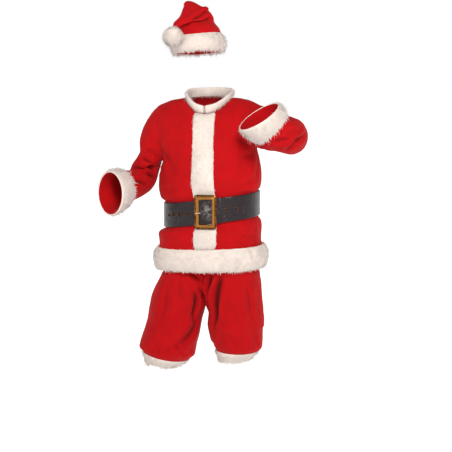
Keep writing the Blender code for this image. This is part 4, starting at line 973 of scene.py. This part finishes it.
def strap_mesh(belt):
    """Wound strap with rounded edges, a little rippled, punched for the prong and the eyelets."""
    angles = np.unique(np.concatenate([
        np.arange(STRAP_START, 334, 1.6), np.arange(334, 386, 1.2),
        np.arange(386, STRAP_TAIL, 1.6), [STRAP_TAIL],
    ]))
    half = STRAP_WIDTH / 2
    edge = STRAP_WALL / 2
    section = [(-half + edge, 0.0)]
    section += [(t * (half - edge), 0.0) for t in np.linspace(-0.75, 0.75, 7)]
    section += [(half - edge, 0.0), (half, edge), (half - edge * 0.6, STRAP_WALL * 0.9)]
    section += [(t * (half - edge), STRAP_WALL) for t in np.linspace(0.96, -0.96, 17)]
    section += [(-half + edge * 0.6, STRAP_WALL * 0.9), (-half, edge)]
    rings = []
    for angle in angles:
        base = strap_out(angle)
        ring = []
        for up, out in section:
            point, away = strap_point(angle, base + out)
            if out > 0.6 * STRAP_WALL:
                ripple = noise.noise(Vector((angle * 0.11, up * 42.0, 3.0)))
                ripple += 0.6 * noise.noise(Vector((angle * 0.33, up * 70.0, 9.0)))
                ease_in = min(1.0, abs(angle - BUCKLE_TURN) / 18.0)
                point = point + away * belt.wrinkle * ripple * ease_in
            ring.append(tuple(point + np.array([0.0, 0.0, up])))
        rings.append(ring)
    shape = bmesh.new()
    rows = [[shape.verts.new(p) for p in ring] for ring in rings]
    width = len(section)
    for lower, upper in zip(rows, rows[1:]):
        for k in range(width):
            m = (k + 1) % width
            shape.faces.new((lower[k], lower[m], upper[m], upper[k]))
    shape.faces.new(rows[0][::-1])
    shape.faces.new(rows[-1])
    bmesh.ops.recalc_face_normals(shape, faces=shape.faces)
    mesh = bpy.data.meshes.new("strap")
    shape.to_mesh(mesh)
    shape.free()
    cutters = bmesh.new()
    for angle in (PRONG_HOLE, *EYELETS):
        place, away = strap_point(angle, strap_out(angle) + STRAP_WALL / 2)
        turn = Vector(away).to_track_quat("Z", "X").to_matrix().to_4x4()
        turn.translation = Vector(place)
        bmesh.ops.create_cone(
            cutters, cap_ends=True, segments=20, radius1=EYELET_HOLE, radius2=EYELET_HOLE,
            depth=STRAP_WALL + 0.0024, matrix=turn,
        )
    punch_mesh = bpy.data.meshes.new("punch")
    cutters.to_mesh(punch_mesh)
    cutters.free()
    punch = bpy.data.objects.new("punch", punch_mesh)
    bpy.context.scene.collection.objects.link(punch)
    made = evaluated_mesh(mesh, ("punch", "BOOLEAN", {
        "operation": "DIFFERENCE", "solver": "EXACT", "object": punch,
    }))
    bpy.data.objects.remove(punch)
    made.shade_smooth()
    made.set_sharp_from_angle(angle=math.radians(42))
    made.name = "vinyl_strap"
    return made


def rounded_node(name, width, segments=2, levels=0):
    """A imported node's shape with its edges rounded."""
    shape = welded_node(name)
    mesh = bpy.data.meshes.new(name)
    shape.to_mesh(mesh)
    shape.free()
    steps = [("edges", "BEVEL", {"width": width, "segments": segments, "limit_method": "ANGLE",
                                 "angle_limit": math.radians(24), "harden_normals": False})]
    if levels:
        steps.append(("smooth", "SUBSURF", {"levels": levels, "render_levels": levels}))
    made = evaluated_mesh(mesh, *steps)
    made.shade_smooth()
    made.set_sharp_from_angle(angle=math.radians(45))
    return made


def eyelet_mesh(angle):
    """Turned and rolled ring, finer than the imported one."""
    place, away = strap_point(angle, strap_out(angle) + STRAP_WALL + 0.0004)
    turn = Vector(away).to_track_quat("Z", "X").to_matrix()
    middle, half = (EYELET_HOLE + EYELET_RIM) / 2, (EYELET_RIM - EYELET_HOLE) / 2
    shape = bmesh.new()
    rings = []
    for k in range(36):
        spin = 2 * math.pi * k / 36
        ring = []
        for j in range(10):
            t = 2 * math.pi * j / 10
            radius = middle + half * math.cos(t)
            ring.append(shape.verts.new(Vector(place) + turn @ Vector((
                radius * math.cos(spin), radius * math.sin(spin), 0.0005 + 0.0006 * math.sin(t),
            ))))
        rings.append(ring)
    for k, ring in enumerate(rings):
        after = rings[(k + 1) % 36]
        for j in range(10):
            m = (j + 1) % 10
            shape.faces.new((ring[j], after[j], after[m], ring[m]))
    bmesh.ops.recalc_face_normals(shape, faces=shape.faces)
    mesh = bpy.data.meshes.new("eyelet")
    shape.to_mesh(mesh)
    shape.free()
    mesh.shade_smooth()
    return mesh


def buckle_mesh(edge):
    """The cast frame with rounded edges. Its outer bevel and sides take the dark second material, as painted
    shade.
    """
    made = rounded_node("belt_buckle", edge, 3)
    low, high = (np.array(corner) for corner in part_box("belt_buckle"))
    middle, half = (low + high) / 2, (high - low) / 2
    for face in made.polygons:
        centre = np.array(face.center)
        inset = min(half[0] - abs(centre[0] - middle[0]), half[2] - abs(centre[2] - middle[2]))
        face.material_index = 1 if inset < RIM_SHADE_REACH else 0
    made.name = "brass_buckle"
    return made


class SUIT_OT_jacket(bpy.types.Operator):
    """Makes the jacket's fronts, back and sleeves in creased plush"""

    bl_idname = "suit.jacket"
    bl_label = "Jacket cloth"

    def execute(self, context):
        cloth = context.scene.suit_cloth
        mesh = rounded_skin(joined_skin(JACKET), 3)
        trims = (
            "fur_hem_band", "fur_front_strip", "fur_cuff_left", "fur_cuff_right", "fur_neckband",
            "belt_strap",
        )
        fold_skin(mesh, cloth, JACKET_CREASES, JACKET_GATHERS, trims)
        cut_panels(mesh, JACKET, cloth)
        return {"FINISHED"}


class SUIT_OT_trousers(bpy.types.Operator):
    """Makes the trousers' legs and waistband in creased plush"""

    bl_idname = "suit.trousers"
    bl_label = "Trouser cloth"

    def execute(self, context):
        cloth = context.scene.suit_cloth
        mesh = rounded_skin(joined_skin(TROUSERS), 3)
        fold_skin(mesh, cloth, TROUSER_CREASES, TROUSER_GATHERS, ("fur_leg_cuff_left", "fur_leg_cuff_right"))
        cut_panels(mesh, TROUSERS, cloth)
        band = rounded_node("trouser_waistband", 0.001, 2, 1)
        piece = add_piece(
            "plush_waistband", band, [finish("polyester plush", polyester_plush, cloth)],
            ("trouser_waistband",),
        )
        return {"FINISHED"}


class SUIT_OT_hat(bpy.types.Operator):
    """Makes the hat's folded crown in plush"""

    bl_idname = "suit.hat"
    bl_label = "Hat crown"

    def execute(self, context):
        cloth = context.scene.suit_cloth
        mesh = rounded_skin(joined_skin(HAT), 2)
        peak_crown(mesh)
        fold_skin(mesh, cloth, HAT_CREASES, [], ("fur_hat_brim", "hat_pompom"))
        cut_panels(mesh, HAT, cloth)
        return {"FINISHED"}


class SUIT_OT_jacket_fur(bpy.types.Operator):
    """Makes the fur on the jacket's hem, front, neck and cuffs"""

    bl_idname = "suit.jacket_fur"
    bl_label = "Jacket fur"

    def execute(self, context):
        add_fur(
            ("fur_hem_band", "fur_front_strip", "fur_neckband", "fur_cuff_left", "fur_cuff_right"), JACKET,
        )
        return {"FINISHED"}


class SUIT_OT_trouser_fur(bpy.types.Operator):
    """Makes the fur cuffs of the trousers"""

    bl_idname = "suit.trouser_fur"
    bl_label = "Trouser fur"

    def execute(self, context):
        add_fur(("fur_leg_cuff_left", "fur_leg_cuff_right"), TROUSERS)
        return {"FINISHED"}


class SUIT_OT_hat_fur(bpy.types.Operator):
    """Makes the hat's fur brim and pompom"""

    bl_idname = "suit.hat_fur"
    bl_label = "Hat fur"

    def execute(self, context):
        add_fur(("fur_hat_brim", "hat_pompom"), HAT)
        return {"FINISHED"}


class SUIT_OT_belt(bpy.types.Operator):
    """Makes the vinyl strap and its keeper"""

    bl_idname = "suit.belt"
    bl_label = "Belt strap"

    def execute(self, context):
        belt = context.scene.suit_belt
        vinyl = finish("soft PVC vinyl", soft_vinyl, belt)
        add_piece("vinyl_strap", strap_mesh(belt), [vinyl], ("belt_strap",))
        keeper = rounded_node("belt_keeper", 0.0006)
        add_piece("vinyl_keeper", keeper, [vinyl], ("belt_keeper",))
        return {"FINISHED"}


class SUIT_OT_fittings(bpy.types.Operator):
    """Makes the cast buckle, its prong and the eyelets"""

    bl_idname = "suit.fittings"
    bl_label = "Belt fittings"

    def execute(self, context):
        belt = context.scene.suit_belt
        bright = finish("antique brass on zinc", antique_brass, belt, "antique brass on zinc", 0.32)
        worn = finish("worn bright brass", antique_brass, belt, "worn bright brass", 0.05, linear("#F3E3C6"))
        # Dark brass: painted shade on the buckle's outer bevel and sides, and the eyelets' own patina.
        patina = finish("antique brass patina", antique_brass, belt, "antique brass patina", 0.95)
        add_piece("brass_buckle", buckle_mesh(belt.edge), [bright, patina], ("belt_buckle",))
        prong = rounded_node("belt_prong", 0.0005, 2, 1)
        add_piece("brass_prong", prong, [worn], ("belt_prong",))
        for number, angle in enumerate(EYELETS):
            name = f"brass_eyelet_{number + 1}"
            add_piece(name, eyelet_mesh(angle), [patina], (f"belt_eyelet_{number + 1}",))
        return {"FINISHED"}


class SUIT_OT_stage(bpy.types.Operator):
    """Makes the pale floor, the soft lights and the camera"""

    bl_idname = "suit.stage"
    bl_label = "Stage"

    def execute(self, context):
        stage = context.scene.suit_stage
        set_camera(context.scene, stage)
        set_floor(stage)
        set_lights(context.scene, stage)
        return {"FINISHED"}


def set_camera(scene, stage):
    """Camera at chest height, 12 degrees to the wearer's left of straight ahead."""
    turn = math.radians(12.0)
    across = Vector((math.cos(turn), math.sin(turn), 0.0))
    toward = Vector((math.sin(turn), -math.cos(turn), 0.0))
    place = toward * stage.distance + Vector((0.0, 0.0, 0.05))
    target = across * 0.063 + Vector((0.0, 0.0, -0.503))
    data = bpy.data.cameras.new("camera")
    # The picture is 1.785 m high at the target.
    data.sensor_width = 36.0
    data.lens = 36.0 * (target - place).length / 1.785
    data.clip_end = 60.0
    camera = bpy.data.objects.new("camera", data)
    scene.collection.objects.link(camera)
    camera.location = place
    camera.rotation_euler = (target - place).to_track_quat("-Z", "Y").to_euler()
    scene.camera = camera


def set_floor(stage):
    """Pale floor where the wearer's feet would be."""
    shape = bmesh.new()
    bmesh.ops.create_grid(shape, x_segments=8, y_segments=8, size=120.0)
    mesh = bpy.data.meshes.new("floor")
    shape.to_mesh(mesh)
    shape.free()
    floor = bpy.data.objects.new("floor", mesh)
    floor.location = (0.0, 0.0, -1.5)
    bpy.context.scene.collection.objects.link(floor)
    material, tree, shader, place = start_material("matt white floor")
    # Faint unevenness over about 400 mm.
    tint = add_node(tree, "ShaderNodeTexNoise", None, {"Vector": place, "Scale": 2.5})
    tone = add_node(tree, "ShaderNodeMix", {"data_type": "RGBA"}, {
        0: tint.outputs["Fac"], 6: (*stage.floor, 1.0), 7: (*linear("#FCFCFC"), 1.0),
    })
    # Painted light: the floor glows behind the suit and far from it, so that it runs into the lit backdrop;
    # the floor in front of the suit doesn't glow, so that the suit isn't lit from below.
    split = add_node(tree, "ShaderNodeSeparateXYZ", None, {"Vector": place})
    glow = add_node(tree, "ShaderNodeMapRange", None, {
        "Value": split.outputs["Y"], "From Min": -0.8, "From Max": 0.25, "To Min": 0.0, "To Max": 0.95,
    })
    tree.links.new(tone.outputs[2], shader.inputs["Base Color"])
    away = add_node(tree, "ShaderNodeVectorMath", {"operation": "LENGTH"}, {0: place})
    far = add_node(tree, "ShaderNodeMapRange", None, {
        "Value": away.outputs["Value"], "From Min": 2.0, "From Max": 4.0, "To Min": 0.0, "To Max": 0.85,
    })
    both = add_node(tree, "ShaderNodeMath", {"operation": "MAXIMUM"}, {
        0: glow.outputs["Result"], 1: far.outputs["Result"],
    })
    tree.links.new(both.outputs["Value"], shader.inputs["Emission Strength"])
    shader.inputs["Emission Color"].default_value = (1.0, 1.0, 1.0, 1.0)
    shader.inputs["Roughness"].default_value = 1.0
    mesh.materials.append(material)


def set_lights(scene, stage):
    """White surroundings, one large key light in front and one soft fill."""
    world = bpy.data.worlds.new("white surroundings")
    world.use_nodes = True
    tree = world.node_tree
    # White up to 12 degrees above the horizon, dimmer overhead and on the side that the suit faces.
    toward = add_node(tree, "ShaderNodeTexCoord").outputs["Generated"]
    split = add_node(tree, "ShaderNodeSeparateXYZ", None, {"Vector": toward})
    height = add_node(tree, "ShaderNodeMapRange", None, {
        "Value": split.outputs["Z"], "From Min": 0.21, "From Max": 0.45, "To Min": 1.0, "To Max": 0.22,
    })
    side = add_node(tree, "ShaderNodeMapRange", None, {
        "Value": split.outputs["Y"], "From Min": -0.3, "From Max": 0.5, "To Min": 0.80, "To Max": 1.0,
    })
    strength = add_node(tree, "ShaderNodeMath", {"operation": "MULTIPLY"}, {
        0: height.outputs["Result"], 1: side.outputs["Result"],
    })
    backdrop = tree.nodes["Background"]
    backdrop.inputs["Color"].default_value = (1.0, 1.0, 1.0, 1.0)
    tree.links.new(strength.outputs["Value"], backdrop.inputs["Strength"])
    scene.world = world
    scene.view_settings.view_transform = "Standard"
    for name, place, size, power in (
        ("key", (1.1, -3.2, 1.4), 1.1, stage.key),
        ("fill", (-2.6, -2.6, 0.4), 2.0, 0.07 * stage.key),
    ):
        data = bpy.data.lights.new(name, "AREA")
        data.shape = "SQUARE"
        data.size = size
        data.energy = power
        light = bpy.data.objects.new(name, data)
        scene.collection.objects.link(light)
        light.location = place
        light.rotation_euler = (Vector((0.0, 0.0, -0.4)) - Vector(place)).to_track_quat("-Z", "Y").to_euler()


class SUIT_PT_panel(bpy.types.Panel):
    """Lists the steps that dress the suit"""

    bl_idname = "SUIT_PT_panel"
    bl_label = "Santa Suit"
    bl_space_type = "VIEW_3D"
    bl_region_type = "UI"
    bl_category = "Santa Suit"

    def draw(self, context):
        for holder in ("suit_cloth", "suit_fur", "suit_belt", "suit_stage"):
            values = getattr(context.scene, holder)
            box = self.layout.box()
            for name in values.__annotations__:
                box.prop(values, name)
        for step in STEPS:
            self.layout.operator(step.bl_idname)


GROUPS = {"suit_cloth": SuitCloth, "suit_fur": SuitFur, "suit_belt": SuitBelt, "suit_stage": SuitStage}
STEPS = (
    SUIT_OT_stage, SUIT_OT_jacket, SUIT_OT_trousers, SUIT_OT_hat, SUIT_OT_jacket_fur, SUIT_OT_trouser_fur,
    SUIT_OT_hat_fur, SUIT_OT_belt, SUIT_OT_fittings,
)


def register():
    for kind in (*GROUPS.values(), *STEPS, SUIT_PT_panel):
        bpy.utils.register_class(kind)
    for name, kind in GROUPS.items():
        setattr(bpy.types.Scene, name, PointerProperty(type=kind))


def unregister():
    for name in GROUPS:
        delattr(bpy.types.Scene, name)
    for kind in reversed((*GROUPS.values(), *STEPS, SUIT_PT_panel)):
        bpy.utils.unregister_class(kind)


def main():
    register()
    bpy.ops.suit.stage()
    bpy.ops.suit.jacket()
    bpy.ops.suit.trousers()
    bpy.ops.suit.hat()
    bpy.ops.suit.jacket_fur()
    bpy.ops.suit.trouser_fur()
    bpy.ops.suit.hat_fur()
    bpy.ops.suit.belt()
    bpy.ops.suit.fittings()


if __name__ == "__main__":
    main()
